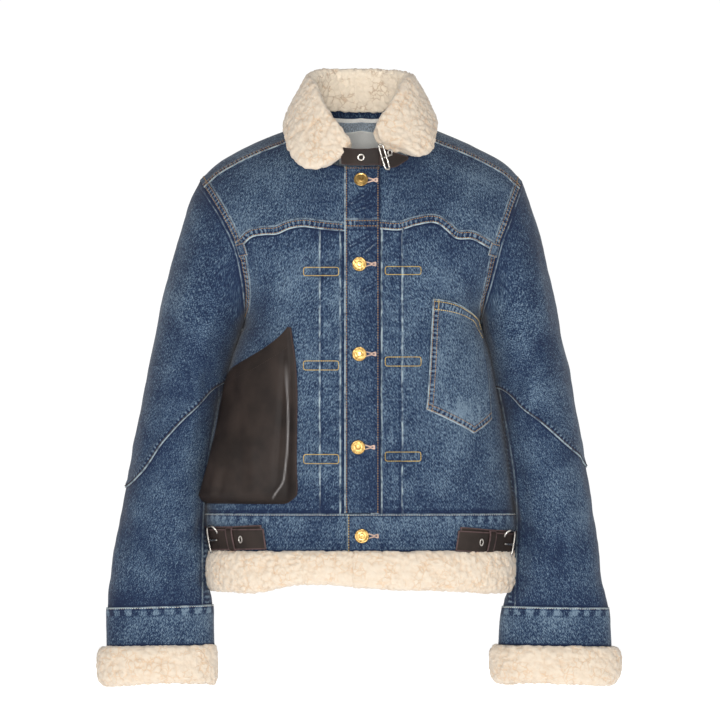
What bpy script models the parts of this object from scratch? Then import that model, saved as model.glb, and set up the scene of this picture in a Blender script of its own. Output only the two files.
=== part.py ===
"""Denim jacket with sherpa collar, hem and cuffs, worn shape, hollow inside.

Sizes in the tables are millimetres. +X is the wearer's left, -Y the front,
+Z up. The origin lies in the middle of the neck, at the height of the neck
seam's sides.
"""
import math

import bpy
import numpy as np

for old in list(bpy.data.objects):
    bpy.data.objects.remove(old, do_unlink=True)

MM = 0.001               # metres in a millimetre
GAP = 0.34               # clearance between neighbouring pieces
DENIM = 1.8              # wall of one denim panel
LEATHER = 2.0            # wall of the leather pieces
SQUARENESS = 0.77        # 1 is an ellipse, less is a boxier body section
SHOULDER_ROUND = 170.0   # height of the rounded top of the body

WAIST_SEAM = -466.0      # seam between body and waistband
BAND_BOTTOM = -511.0     # lower edge of the waistband
NECK_FRONT = -46.0       # neckline at the centre front
NECK_HALF = 74.0         # half width of the neck hole
PLACKET_FREE = -20.0     # free edge of the button placket
PLACKET_SEWN = 23.0      # its stitched edge
PLACKET_LIFT = 2.5       # how far the placket lies above the panel
UNDERLAP = 12.0          # the right front reaches this far under the placket
PLEATS = (27.0, 52.0)    # pleat folds, from the centre front
PLEAT_RISE = 2.2
SEAM_DROP = 13.0         # front shoulder seam, below the shoulder's top line

# Height, half width right and left, depth in front and behind.
BODY = {
    "height": (-570, -511, -466, -440, -388, -354, -293, -231, -204, -170, -139, -62, 60),
    "right": (173, 173, 172, 171, 165, 159, 149, 141, 148, 166, 188, 226, 245),
    "left": (173, 173, 172, 171, 165, 159, 151, 145, 156, 174, 194, 226, 245),
    "front": (113, 113, 114, 116, 118, 119, 120, 121, 121, 121, 121, 120, 120),
    "back": (112, 112, 113, 114, 115, 116, 117, 118, 118, 118, 118, 116, 114),
}
SHOULDER = {
    "out": (0, 45, 74, 91, 124, 155, 176, 196, 215),
    "height": (30, 22, 8, 0, -13, -28, -41, -61, -84),
}
ARMHOLE = {
    "height": (-231, -204, -170, -139, -110, -85, -61),
    "right": (141, 139.5, 143, 151, 165, 180, 196),
    "left": (145, 150, 159, 167, 178, 187, 196),
}
ARMPIT = -231.0
SLEEVE = {
    "right": {
        "outer_x": (196, 212, 228, 245, 259, 271, 284, 295, 304, 309, 309),
        "outer_z": (-61, -95, -149, -216, -285, -350, -415, -480, -534, -581, -628),
        "inner_x": (141, 143, 148, 157, 167, 177, 186, 189, 189, 183, 183),
        "inner_z": (-231, -238, -249, -277, -318, -366, -424, -485, -536, -577, -626),
        "depth": (84, 80, 76, 72, 69, 65, 60, 54, 47, 42, 39),
        "ahead": (0, 0, 0, 0, -2, -5, -10, -16, -20, -24, -26),
        "elbow": (5.0, 1.25),
    },
    "left": {
        "outer_x": (196, 210, 224, 239, 252, 264, 275, 285, 292, 301, 304),
        "outer_z": (-61, -100, -151, -221, -285, -350, -412, -476, -538, -581, -628),
        "inner_x": (145, 148, 152, 160, 169, 176, 183, 188, 189, 179, 173),
        "inner_z": (-231, -239, -252, -284, -328, -376, -428, -490, -534, -579, -626),
        "depth": (84, 80, 76, 72, 69, 65, 60, 54, 47, 42, 39),
        "ahead": (0, 0, 0, 0, -2, -5, -10, -16, -20, -24, -26),
        "elbow": (4.85, 1.1),
    },
}
SLEEVE_ROWS = tuple(range(11))
CUFF_SEAM = 9.0          # row of the sleeve table where the cuff starts
SIGN = {"right": -1.0, "left": 1.0}

COLORS = {
    "denim": ((0.045, 0.095, 0.215), 0.85, 0.0),
    "sherpa": ((0.87, 0.75, 0.60), 0.95, 0.0),
    "leather": ((0.035, 0.022, 0.018), 0.4, 0.0),
    "brass": ((0.62, 0.40, 0.13), 0.35, 1.0),
    "silver": ((0.60, 0.58, 0.55), 0.25, 1.0),
    "label": ((0.85, 0.80, 0.72), 0.8, 0.0),
}


def material(name):
    """One Principled material per kind of cloth, leather or metal."""
    found = bpy.data.materials.get(name)
    if found:
        return found
    color, rough, metal = COLORS[name]
    made = bpy.data.materials.new(name)
    made.use_nodes = True
    shader = made.node_tree.nodes["Principled BSDF"]
    shader.inputs["Base Color"].default_value = (*color, 1.0)
    shader.inputs["Roughness"].default_value = rough
    shader.inputs["Metallic"].default_value = metal
    return made


def curve(places, values):
    """Smooth line through a table's points: cubic pieces, slopes from their neighbours."""
    xs = np.array(places, float)
    ys = np.array(values, float)
    slopes = np.gradient(ys, xs)

    def at(place):
        place = np.clip(np.asarray(place, float), xs[0], xs[-1])
        i = np.clip(np.searchsorted(xs, place) - 1, 0, len(xs) - 2)
        step = xs[i + 1] - xs[i]
        t = (place - xs[i]) / step
        return ((1 + 2 * t) * (1 - t) ** 2 * ys[i] + t * (1 - t) ** 2 * step * slopes[i]
                + t * t * (3 - 2 * t) * ys[i + 1] + t * t * (t - 1) * step * slopes[i + 1])
    return at


shoulder_top = curve(SHOULDER["out"], SHOULDER["height"])
depth_front = curve(BODY["height"], BODY["front"])
depth_back = curve(BODY["height"], BODY["back"])
half_width = {s: curve(BODY["height"], BODY[s]) for s in SIGN}
armhole_out = {s: curve(ARMHOLE["height"], ARMHOLE[s]) for s in SIGN}


def unit(vectors):
    return vectors / np.maximum(np.linalg.norm(vectors, axis=-1, keepdims=True), 1e-9)


def body_point(side, turn, z):
    """Body surface: turn 0 is the centre front, 90 the side, 180 the centre back."""
    turn = np.radians(turn)
    z = np.asarray(z, float)
    s = np.sin(turn)
    c = np.cos(turn)
    out = half_width[side](z) * np.sign(s) * np.abs(s) ** SQUARENESS
    drop = np.clip(1 - (shoulder_top(np.abs(out)) - z) / SHOULDER_ROUND, 0, 1)
    deep = np.where(c > 0, depth_front(z), depth_back(z)) * np.sqrt(1 - drop ** 2)
    y = -deep * np.sign(c) * np.abs(c) ** SQUARENESS
    return np.stack(np.broadcast_arrays(SIGN[side] * out, y, z), axis=-1)


def body_normal(side, turn, z):
    """Outward direction, from small steps round and up the body."""
    across = body_point(side, turn + 0.4, z) - body_point(side, turn - 0.4, z)
    up = body_point(side, turn, np.asarray(z) + 0.5) - body_point(side, turn, np.asarray(z) - 0.5)
    return unit(np.cross(across, up)) * SIGN[side]


def turn_at(side, out, z):
    """The turn at which the front of the body lies this far from the middle."""
    ratio = np.clip(np.asarray(out, float) / half_width[side](z), -1, 1)
    return np.degrees(np.arcsin(np.sign(ratio) * np.abs(ratio) ** (1 / SQUARENESS)))


def edge_turn(side, z):
    """Outer edge of the front: the armhole above the armpit, the side seam below."""
    hole = turn_at(side, armhole_out[side](z), z)
    return np.where(np.asarray(z) > ARMPIT, hole, 90.0)


def front_turns(side, z, fixed, shares):
    """Columns: some at fixed distances from the middle, the rest spread to the edge."""
    last = turn_at(side, fixed[-1], z)
    near = [turn_at(side, place, z) for place in fixed]
    far = [last + (edge_turn(side, z) - last) * share for share in shares]
    return np.stack(near + far, axis=-1)


def build(name, kind, points, faces, smooth=True):
    """A mesh object from millimetre points; the faces already point outwards."""
    mesh = bpy.data.meshes.new(name)
    mesh.from_pydata([tuple(p) for p in (np.asarray(points) * MM)], [], faces)
    mesh.validate()
    mesh.materials.append(material(kind))
    if smooth:
        mesh.shade_smooth()
    piece = bpy.data.objects.new(name, mesh)
    bpy.context.scene.collection.objects.link(piece)
    volume = signed_volume(mesh)
    if volume < 0:
        mesh.flip_normals()
    return piece


def signed_volume(mesh):
    """Volume inside the faces, negative when they point inwards."""
    mesh.calc_loop_triangles()
    spots = np.array([v.co[:] for v in mesh.vertices])
    tris = np.array([t.vertices[:] for t in mesh.loop_triangles])
    a, b, c = spots[tris[:, 0]], spots[tris[:, 1]], spots[tris[:, 2]]
    return float(np.sum(a * np.cross(b, c)) / 6)


def pulled(grid, sides, gap=GAP / 2):
    """Draw the named edges of a grid of points in by a small gap."""
    grid = grid.copy()
    if "low" in sides:
        grid[0] += unit(grid[1] - grid[0]) * gap
    if "high" in sides:
        grid[-1] += unit(grid[-2] - grid[-1]) * gap
    if "first" in sides:
        grid[:, 0] += unit(grid[:, 1] - grid[:, 0]) * gap
    if "last" in sides:
        grid[:, -1] += unit(grid[:, -2] - grid[:, -1]) * gap
    return grid


def sheet(name, kind, outer, normals, wall, lift=0.0, sides=("low", "high", "first", "last")):
    """A closed wall: the outer points, moved out by the lift, and an inner copy."""
    top = pulled(outer + normals * np.asarray(lift)[..., None], sides)
    under = pulled(outer + normals * (np.asarray(lift) - wall)[..., None], sides)
    rows, cols = top.shape[:2]
    points = np.concatenate([top.reshape(-1, 3), under.reshape(-1, 3)])
    half = rows * cols
    at = np.arange(half).reshape(rows, cols)
    faces = []
    for i in range(rows - 1):
        for j in range(cols - 1):
            quad = (at[i, j], at[i, j + 1], at[i + 1, j + 1], at[i + 1, j])
            faces.append(tuple(int(k) for k in quad))
            faces.append(tuple(int(k) + half for k in reversed(quad)))
    rim = [*at[0, :], *at[1:, -1], *at[-1, -2::-1], *at[-2:0:-1, 0]]
    for a, b in zip(rim, rim[1:] + rim[:1]):
        faces.append((int(b), int(a), int(a) + half, int(b) + half))
    return build(name, kind, points, faces)


def tube(name, kind, outer, normals, wall):
    """An open sleeve of cloth: rings outside, rings inside, a rim at each end."""
    top = pulled(outer, ("low", "high"))
    under = pulled(outer - normals * wall, ("low", "high"))
    rows, cols = top.shape[:2]
    points = np.concatenate([top.reshape(-1, 3), under.reshape(-1, 3)])
    at = np.arange(rows * cols).reshape(rows, cols)
    loop = np.concatenate([at, at[::-1] + rows * cols, at[:1]])
    return build(name, kind, points, ring_faces(loop))


def ring_faces(loop):
    """Quads between rows of indices, closed round each row."""
    faces = []
    for low, high in zip(loop[:-1], loop[1:]):
        for j in range(len(low)):
            k = (j + 1) % len(low)
            faces.append((int(low[j]), int(low[k]), int(high[k]), int(high[j])))
    return faces


def sweep(name, kind, sections, closed=False):
    """Closed sections [step, corner, 3] joined in a row, with end faces unless closed."""
    steps, corners = sections.shape[:2]
    at = np.arange(steps * corners).reshape(steps, corners)
    faces = ring_faces(np.concatenate([at, at[:1]]) if closed else at)
    if not closed:
        faces.append(tuple(int(k) for k in at[0][::-1]))
        faces.append(tuple(int(k) for k in at[-1]))
    return build(name, kind, sections.reshape(-1, 3), faces)


# ---- body panels ---------------------------------------------------------

FRONT_SHARES = (0.14, 0.28, 0.42, 0.56, 0.70, 0.85, 1.0)
RIGHT_FIXED = (-UNDERLAP, 10.0, 24.0, 25.5, 27.0, 33.0, 49.0, 50.5, 52.0, 58.0, NECK_HALF)
LEFT_FIXED = (PLACKET_SEWN, 24.5, 25.5, 27.0, 33.0, 49.0, 50.5, 52.0, 58.0, NECK_HALF)
FIXED = {"right": RIGHT_FIXED, "left": LEFT_FIXED}

YOKE_SEAM = {
    "out": (0, 45, 70, 86, 104, 126, 150, 196),
    "right": (-114, -114, -110, -112, -120, -120, -139, -150),
    "left": (-110, -110, -106, -104, -112, -122, -131, -143),
}
yoke_seam = {s: curve(YOKE_SEAM["out"], YOKE_SEAM[s]) for s in SIGN}
shoulder_angle = math.degrees(math.acos(1 - SEAM_DROP / SHOULDER_ROUND))


def neckline(out):
    """Front edge of the neck hole, low in the middle and level with the shoulder seam."""
    out = np.abs(out)
    end = shoulder_top(NECK_HALF) - SEAM_DROP
    round_part = 1 - np.sqrt(np.clip(1 - (out / NECK_HALF) ** 2, 0, 1))
    low = NECK_FRONT + (end - NECK_FRONT) * round_part
    return np.where(out < NECK_HALF, low, shoulder_top(out) - SEAM_DROP)


def columns_at(side, height_of):
    """Turn and height of each front column where it crosses a line height_of(out)."""
    count = len(FIXED[side]) + len(FRONT_SHARES)
    z = np.full(count, -100.0)
    for _ in range(60):
        turns = np.array([front_turns(side, zi, FIXED[side], FRONT_SHARES)[i]
                          for i, zi in enumerate(z)])
        out = np.abs(body_point(side, turns, z)[:, 0])
        z = z + 0.6 * (height_of(out) - z)
    return z


def front_grid(side, low, high, rows):
    """Heights spread between two lines, each column on its own turn."""
    share = np.asarray(rows)[:, None]
    z = low[None, :] + (high - low)[None, :] * share
    turns = np.empty_like(z)
    for j in range(z.shape[1]):
        turns[:, j] = front_turns(side, z[:, j], FIXED[side], FRONT_SHARES)[:, j]
    return body_point(side, turns, z), body_normal(side, turns, z)


def pleat_lift(side, points):
    """Each pleat's fold stands up on its inner side and falls away outwards."""
    out = np.abs(points[..., 0])
    lift = np.zeros(out.shape)
    for place in PLEATS:
        rise = np.clip((out - (place - 3.0)) / 1.5, 0, 1)
        fall = np.clip(1 - (out - place + 1.5) / 8.0, 0, 1)
        lift = np.maximum(lift, PLEAT_RISE * rise * fall)
    ends = np.clip((points[..., 2] - WAIST_SEAM) / 12.0, 0, 1)
    return lift * ends * (points[..., 0] * SIGN[side] > 0)


def even_rows(count, power=1.0):
    return np.linspace(0, 1, count) ** power


ROWS_LOW = 9             # rows from the waist seam to the armpit
ROWS_HIGH = 7            # rows from the armpit to the yoke seam
ROWS_YOKE = 6

seam_height = {s: columns_at(s, yoke_seam[s]) for s in SIGN}
neck_height = {s: columns_at(s, neckline) for s in SIGN}
armhole_front = {}


def make_front(side):
    """Front panel with its pleats, and the yoke above it."""
    waist = np.full(seam_height[side].shape, WAIST_SEAM)
    pit = np.full(seam_height[side].shape, ARMPIT)
    lower, lower_n = front_grid(side, waist, pit, even_rows(ROWS_LOW))
    upper, upper_n = front_grid(side, pit, seam_height[side], even_rows(ROWS_HIGH)[1:])
    panel = np.concatenate([lower, upper])
    normal = np.concatenate([lower_n, upper_n])
    sheet("front_" + side, "denim", panel, normal, DENIM, pleat_lift(side, panel))
    yoke, yoke_n = front_grid(side, seam_height[side], neck_height[side], even_rows(ROWS_YOKE))
    sheet("yoke_front_" + side, "denim", yoke, yoke_n, DENIM)
    edge = np.concatenate([panel[ROWS_LOW - 1:, -1], yoke[1:, -1]])
    edge_n = np.concatenate([normal[ROWS_LOW - 1:, -1], yoke_n[1:, -1]])
    armhole_front[side] = (edge, edge_n)


make_front("right")
make_front("left")

# ---- back panel and yoke -------------------------------------------------

BACK_SEAM = -128.0       # straight seam between back yoke and back panel
BACK_NECK = 50.0         # how far behind the middle the neck hole reaches
NECK_SHIFT = -15.0       # the widest part of the neck hole lies this far forward
YOKE_FIXED = (0.0, 24.0, 44.0, 58.0, 68.0, NECK_HALF)
BACK_FIXED = (0.0, 38.0, NECK_HALF)
ROWS_BACK_YOKE = 9


def top_height(out, lean):
    return shoulder_top(np.abs(out)) - SHOULDER_ROUND * (1 - np.cos(np.radians(lean)))


def top_point(side, out, lean):
    """Shoulder surface: lean 0 is its top line, negative in front, positive behind."""
    z = top_height(out, lean)
    turn = np.radians(turn_at(side, out, z))
    deep = np.where(np.asarray(lean) < 0, depth_front(z), depth_back(z))
    y = deep * np.abs(np.cos(turn)) ** SQUARENESS * np.sin(np.radians(lean))
    return np.stack(np.broadcast_arrays(SIGN[side] * out, y, z), axis=-1)


def top_normal(side, out, lean):
    across = top_point(side, out + 0.4, lean) - top_point(side, out - 0.4, lean)
    along = top_point(side, out, lean + 0.3) - top_point(side, out, lean - 0.3)
    return unit(np.cross(across, along)) * SIGN[side]


def yoke_out(side, column, lean):
    """Distance from the middle of one back yoke column at a lean."""
    if column < len(YOKE_FIXED):
        return np.full(np.shape(lean), YOKE_FIXED[column])
    share = FRONT_SHARES[column - len(YOKE_FIXED)]
    out = np.full(np.shape(lean), 150.0)
    for _ in range(60):
        z = top_height(out, lean)
        near = turn_at(side, NECK_HALF, z)
        far = turn_at(side, armhole_out[side](z), z)
        turn = np.radians(near + (far - near) * share)
        out = out + 0.6 * (half_width[side](z) * np.sin(turn) ** SQUARENESS - out)
    return out


def lean_at_neck(side, out):
    """Lean at which the back of the neck hole crosses this column."""
    y = NECK_SHIFT + (BACK_NECK - NECK_SHIFT) * math.sqrt(1 - (out / NECK_HALF) ** 2)
    return math.degrees(math.asin(y / depth_back(0.0)))


def lean_at_seam(side, column):
    lean = 60.0
    for _ in range(60):
        out = float(yoke_out(side, column, np.array(lean)))
        lean = math.degrees(math.acos(1 - (float(shoulder_top(out)) - BACK_SEAM) / SHOULDER_ROUND))
    return lean


def yoke_half(side):
    """Back yoke columns on one side, from the centre out to the armhole."""
    points, normals = [], []
    for column in range(len(YOKE_FIXED) + len(FRONT_SHARES)):
        inner = -shoulder_angle
        if column < len(YOKE_FIXED) - 1:
            inner = lean_at_neck(side, YOKE_FIXED[column])
        lean = inner + (lean_at_seam(side, column) - inner) * even_rows(ROWS_BACK_YOKE)
        out = yoke_out(side, column, lean)
        points.append(top_point(side, out, lean))
        normals.append(top_normal(side, out, lean))
    return np.stack(points, axis=1), np.stack(normals, axis=1)


def back_half(side):
    """Back panel columns on one side, from the centre out to the side seam."""
    low = WAIST_SEAM + (ARMPIT - WAIST_SEAM) * even_rows(ROWS_LOW)
    high = ARMPIT + (BACK_SEAM - ARMPIT) * even_rows(ROWS_HIGH)[1:]
    z = np.concatenate([low, high])[:, None]
    turn = 180.0 - front_turns(side, z[:, 0], BACK_FIXED, FRONT_SHARES)
    return body_point(side, turn, z), body_normal(side, turn, z)


def mirrored_join(half_of):
    """Both halves of a back piece in one grid, right armhole to left armhole."""
    right, right_n = half_of("right")
    left, left_n = half_of("left")
    points = np.concatenate([right[:, :0:-1], left], axis=1)
    return points, np.concatenate([right_n[:, :0:-1], left_n], axis=1)


def make_back():
    yoke, yoke_n = mirrored_join(yoke_half)
    sheet("back_yoke", "denim", yoke, yoke_n, DENIM)
    panel, panel_n = mirrored_join(back_half)
    sheet("back_panel", "denim", panel, panel_n, DENIM)
    return (yoke, yoke_n), (panel, panel_n)


back_yoke, back_panel = make_back()


# ---- sleeves and cuffs ---------------------------------------------------

def armhole_loop(side):
    """Points and normals round the armhole: armpit, front, shoulder, back."""
    edge = 0 if side == "right" else -1
    front, front_n = armhole_front[side]
    back = back_panel[0][ROWS_LOW:-1, edge][::-1]
    back_n = back_panel[1][ROWS_LOW:-1, edge][::-1]
    over = back_yoke[0][1:, edge]
    over_n = back_yoke[1][1:, edge]
    return np.concatenate([front, over, back]), np.concatenate([front_n, over_n, back_n])


def sleeve_rule(side):
    """Row curves of one sleeve: outer and inner outline, depth and forward swing."""
    table = SLEEVE[side]
    return {key: curve(SLEEVE_ROWS, table[key])
            for key in ("outer_x", "outer_z", "inner_x", "inner_z", "depth", "ahead")}


def sleeve_oval(side, row, angle):
    """Point of the plain oval sleeve; angle 0 is the outer line, 180 the inner."""
    rule = sleeve_rule(side)
    outer = np.stack([rule["outer_x"](row), rule["outer_z"](row)], axis=-1)
    inner = np.stack([rule["inner_x"](row), rule["inner_z"](row)], axis=-1)
    share = (1 + np.cos(angle)) / 2
    flat = inner + (outer - inner) * share[..., None]
    y = rule["ahead"](row) - rule["depth"](row) * np.sin(angle)
    return np.stack([SIGN[side] * flat[..., 0], y, flat[..., 1]], axis=-1)


def loop_angles(side, loop):
    """The angle of each armhole point in the first oval."""
    rule = sleeve_rule(side)
    outer = np.array([rule["outer_x"](0.0), rule["outer_z"](0.0)])
    inner = np.array([rule["inner_x"](0.0), rule["inner_z"](0.0)])
    flat = np.stack([SIGN[side] * loop[:, 0], loop[:, 2]], axis=-1)
    half = np.linalg.norm(outer - inner) / 2
    along = (flat - (outer + inner) / 2) @ (outer - inner) / (2 * half * half)
    return np.arctan2(-loop[:, 1] / float(rule["depth"](0.0)), along)


def fade(row, length):
    """1 at the armhole, easing to 0 after some rows."""
    t = np.clip(row / length, 0, 1)
    return 1 - t * t * (3 - 2 * t)


def sleeve_fold(side, row, angle):
    """Soft bends: one slanting trough on the forearm, one above the elbow."""
    fold = -3.5 * np.exp(-((row - 6.6 - 0.9 * np.sin(angle)) / 0.35) ** 2)
    fold += -3.0 * np.exp(-((row - 4.0 + 0.7 * np.sin(angle + 0.8)) / 0.4) ** 2)
    fold += 2.5 * np.exp(-((row - 7.5 - 0.6 * np.sin(angle)) / 0.4) ** 2)
    return fold


def sleeve_grid(side, rows):
    """Outer points and normals of the sleeve for rows[step, column]."""
    loop, loop_n = armhole_loop(side)
    angle = np.broadcast_to(loop_angles(side, loop), rows.shape)
    gap = loop - sleeve_oval(side, np.zeros(len(loop)), angle[0])

    def place(row):
        return sleeve_oval(side, row, angle) + fade(row, 3.0)[..., None] * gap
    points = place(rows)
    around = np.roll(points, -1, axis=1) - np.roll(points, 1, axis=1)
    down = place(np.minimum(rows + 0.05, 10)) - place(np.maximum(rows - 0.05, 0))
    normals = unit(np.cross(down, around)) * -SIGN[side]
    centre = points.mean(axis=1, keepdims=True)
    if np.sum((points - centre) * normals) < 0:
        normals = -normals
    points = points + normals * sleeve_fold(side, rows, angle)[..., None] * (1 - fade(rows, 3))[..., None]
    return points, normals


def seam_normals(side, normals):
    """At the armhole the sleeve's wall turns away from the body panel's wall."""
    loop, loop_n = armhole_loop(side)
    tangent = unit(np.roll(loop, -1, axis=0) - np.roll(loop, 1, axis=0))
    away = np.cross(tangent, loop_n)
    middle = loop.mean(axis=0)
    if np.sum((loop - middle) * away) > 0:
        away = -away
    lean = np.maximum(np.sum(normals * away, axis=1, keepdims=True), 0)
    return unit(normals + 0.3 * loop_n - lean * away)


def make_sleeve(side):
    """Upper sleeve, lower sleeve in front and back pieces below the elbow seam, denim cuff."""
    loop, _ = armhole_loop(side)
    angle = loop_angles(side, loop)
    middle, swing = SLEEVE[side]["elbow"]
    elbow = middle + swing * np.cos(angle)
    upper_rows = elbow[None, :] * even_rows(10)[:, None]
    lower_rows = elbow[None, :] + (CUFF_SEAM - elbow)[None, :] * even_rows(7)[:, None]
    points, normals = sleeve_grid(side, upper_rows)
    normals[0] = seam_normals(side, normals[0])
    tube("sleeve_upper_" + side, "denim", points, normals, DENIM)
    points, normals = sleeve_grid(side, lower_rows)
    outer_line = int(np.argmin(np.abs(angle)))
    front = np.arange(outer_line + 1)
    back = np.append(np.arange(outer_line, len(angle)), 0)
    sheet("sleeve_lower_front_" + side, "denim", points[:, front], normals[:, front], DENIM)
    sheet("sleeve_lower_back_" + side, "denim", points[:, back], normals[:, back], DENIM)
    cuff_rows = np.broadcast_to(CUFF_SEAM + even_rows(3)[:, None], (3, len(angle)))
    points, normals = sleeve_grid(side, cuff_rows)
    tube("cuff_" + side, "denim", points, normals, DENIM)
    make_fur_cuff(side, points[-1], normals[-1])


# Sherpa band sections: distance out from the cloth and distance below its edge.
FUR_SECTION = {
    "out": (0.5, 8.0, 12.5, 13.0, 10.0, 3.0, -6.0, -11.0, -11.5, -8.0, -3.0),
    "down": (0.5, 1.5, 10.0, 30.0, 43.0, 49.5, 48.5, 40.0, 15.0, 2.0, 0.5),
}


def fur_sections(points, normals, down, side_share=1.0):
    """A closed fur section at every point of an edge, slimmer where it faces sideways."""
    flat = normals - down * np.sum(normals * down, axis=-1, keepdims=True)
    flat = unit(flat)
    slim = side_share + (1 - side_share) * np.abs(flat[:, 1])
    out = np.array(FUR_SECTION["out"])[None, :] * slim[:, None]
    low = np.array(FUR_SECTION["down"])
    return (points[:, None, :] + flat[:, None, :] * out[..., None]
            + np.asarray(down)[None, None, :] * low[None, :, None])


def make_fur_cuff(side, points, normals):
    down = np.array([0.0, 0.0, -1.0])
    sweep("sherpa_cuff_" + side, "sherpa", fur_sections(points, normals, down), closed=True)


make_sleeve("right")
make_sleeve("left")


# ---- waistband and sherpa hem --------------------------------------------

BAND_FIXED = {
    "right": (-8.0, 10.0, 24.0, 40.0, NECK_HALF),
    "left": (-17.0, 0.0, 13.0, 27.0, 40.0, NECK_HALF),
}
HEM_SIDE = 0.7           # the hem's fur is pressed flatter under the sleeves
HEM_FIXED = {"right": (10.6, 30.0, 52.0, NECK_HALF), "left": (-10.0, 8.0, 30.0, 52.0, NECK_HALF)}


def band_lift(side, points):
    """The left band's end lies over the right band's end."""
    out = points[..., 0] * SIGN[side]
    if side == "right":
        return np.zeros(out.shape)
    return PLACKET_LIFT * np.clip((27.0 - out) / 14.0, 0, 1)


def band_grid(side, z, fixed):
    z = np.asarray(z, float)
    turns = front_turns(side, z, fixed, FRONT_SHARES)
    return body_point(side, turns, z[:, None]), body_normal(side, turns, z[:, None])


def back_ring(z):
    """Grid round the back from the right side seam to the left."""
    z = np.asarray(z, float)
    parts = []
    for side in ("right", "left"):
        turns = 180.0 - front_turns(side, z, BACK_FIXED, FRONT_SHARES)
        parts.append((body_point(side, turns, z[:, None]), body_normal(side, turns, z[:, None])))
    points = np.concatenate([parts[0][0][:, :0:-1], parts[1][0]], axis=1)
    return points, np.concatenate([parts[0][1][:, :0:-1], parts[1][1]], axis=1)


def make_bands():
    down = np.array([0.0, 0.0, -1.0])
    heights = (BAND_BOTTOM, (BAND_BOTTOM + WAIST_SEAM) / 2, WAIST_SEAM)
    for side in ("right", "left"):
        points, normals = band_grid(side, heights, BAND_FIXED[side])
        sheet("waistband_" + side, "denim", points, normals, DENIM, band_lift(side, points))
        points, normals = band_grid(side, (BAND_BOTTOM,), HEM_FIXED[side])
        row = pulled(points, ("first", "last"))[0]
        sweep("sherpa_hem_" + side, "sherpa", fur_sections(row, normals[0], down, HEM_SIDE))
    points, normals = back_ring(heights)
    sheet("waistband_back", "denim", points, normals, DENIM)
    points, normals = back_ring((BAND_BOTTOM,))
    row = pulled(points, ("first", "last"))[0]
    sweep("sherpa_hem_back", "sherpa", fur_sections(row, normals[0], down, HEM_SIDE))


make_bands()


# ---- placket and buttons -------------------------------------------------

BUTTONS = {"out": (0.0, -2.0, -2.0, -3.5, 1.0), "height": (-62.0, -163.0, -272.0, -385.0, -493.0)}
BUTTON_RADIUS = 8.7


def make_placket():
    """Strip over the fronts' meeting edges, from the neck to the waist seam."""
    out = np.array([PLACKET_FREE, -8.0, 8.0, PLACKET_SEWN - 0.3])
    z = np.linspace(WAIST_SEAM, NECK_FRONT + 1.0, 20)[:, None]
    turns = np.stack([turn_at("left", place, z[:, 0]) for place in out], axis=-1)
    points = body_point("left", turns, z)
    normals = body_normal("left", turns, z)
    sheet("placket", "denim", points, normals, DENIM, np.full(z.shape, PLACKET_LIFT) + 0 * turns)


def button(name, out, z, lift):
    """A jeans button: a low turned cap with a rolled rim, standing off the cloth."""
    radius = np.array([5.5, BUTTON_RADIUS, BUTTON_RADIUS - 0.6, 7.2, 6.2])
    height = np.array([0.0, 1.2, 2.6, 2.8, 2.2])
    turn = float(turn_at("left", out, z))
    centre = body_point("left", turn, z)
    normal = body_normal("left", turn, z)
    across = unit(np.cross(normal, np.array([0.0, 0.0, 1.0])))
    up = np.cross(across, normal)
    spin = np.linspace(0, 2 * math.pi, 18, endpoint=False)
    ring = np.cos(spin)[:, None] * across + np.sin(spin)[:, None] * up
    rings = (centre + normal * lift + ring[None] * radius[:, None, None]
             + normal * height[:, None, None])
    sweep(name, "brass", rings)


make_placket()
for number, (place, level) in enumerate(zip(BUTTONS["out"], BUTTONS["height"]), 1):
    button("button_" + str(number), place, level, PLACKET_LIFT + 0.5)


# ---- collar, stand, neck tape and label ----------------------------------

STAND_HEIGHT = 12.0      # denim band between the neck seam and the collar's fur
COLLAR = {
    "right": {
        "turn": (9, 22, 38, 60, 90, 125, 155, 180),
        "roll_out": (8, 26, 43, 55, 62, 51, 28, 0),
        "roll_y": (-100, -93, -81, -58, -22, 22, 45, 52),
        "roll_z": (-22, 1, 25, 51, 63, 70, 72, 72),
        "edge_out": (41, 62, 79, 85, 85, 74, 42, 0),
        "edge_lean": (-55, -50, -39, -25, -6, 20, 32, 36),
    },
    "left": {
        "turn": (18, 27, 38, 60, 90, 125, 155, 180),
        "roll_out": (14, 22, 35, 51, 60, 50, 27, 0),
        "roll_y": (-97, -91, -81, -58, -22, 22, 45, 52),
        "roll_z": (-8, 8, 27, 55, 63, 69, 71, 72),
        "edge_out": (44, 60, 76, 83, 84, 74, 42, 0),
        "edge_lean": (-45, -44, -38, -26, -6, 20, 32, 36),
    },
}
COLLAR_STEPS = 13
NECK_FORWARD = 14.0      # the collar stands this far in front of the neckline's front


def neck_point(side, turn):
    """A point of the neck seam; turn 0 is the centre front, 180 the centre back."""
    angle = np.radians(turn)
    out = NECK_HALF * np.sin(angle) ** 0.9
    front = np.array([SIGN[side] * out, 0.0, float(neckline(out))])
    flat = math.radians(float(turn_at(side, out, front[2])))
    drop = 1 - (float(shoulder_top(out)) - front[2]) / SHOULDER_ROUND
    front[1] = -float(depth_front(front[2])) * math.cos(flat) ** SQUARENESS * math.sqrt(1 - drop ** 2)
    lean = lean_at_neck(side, min(out, NECK_HALF - 0.01))
    back = top_point(side, out, lean)
    share = np.clip((turn - 75.0) / 30.0, 0, 1)
    share = share * share * (3 - 2 * share)
    return front * (1 - share) + back * share


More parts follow.
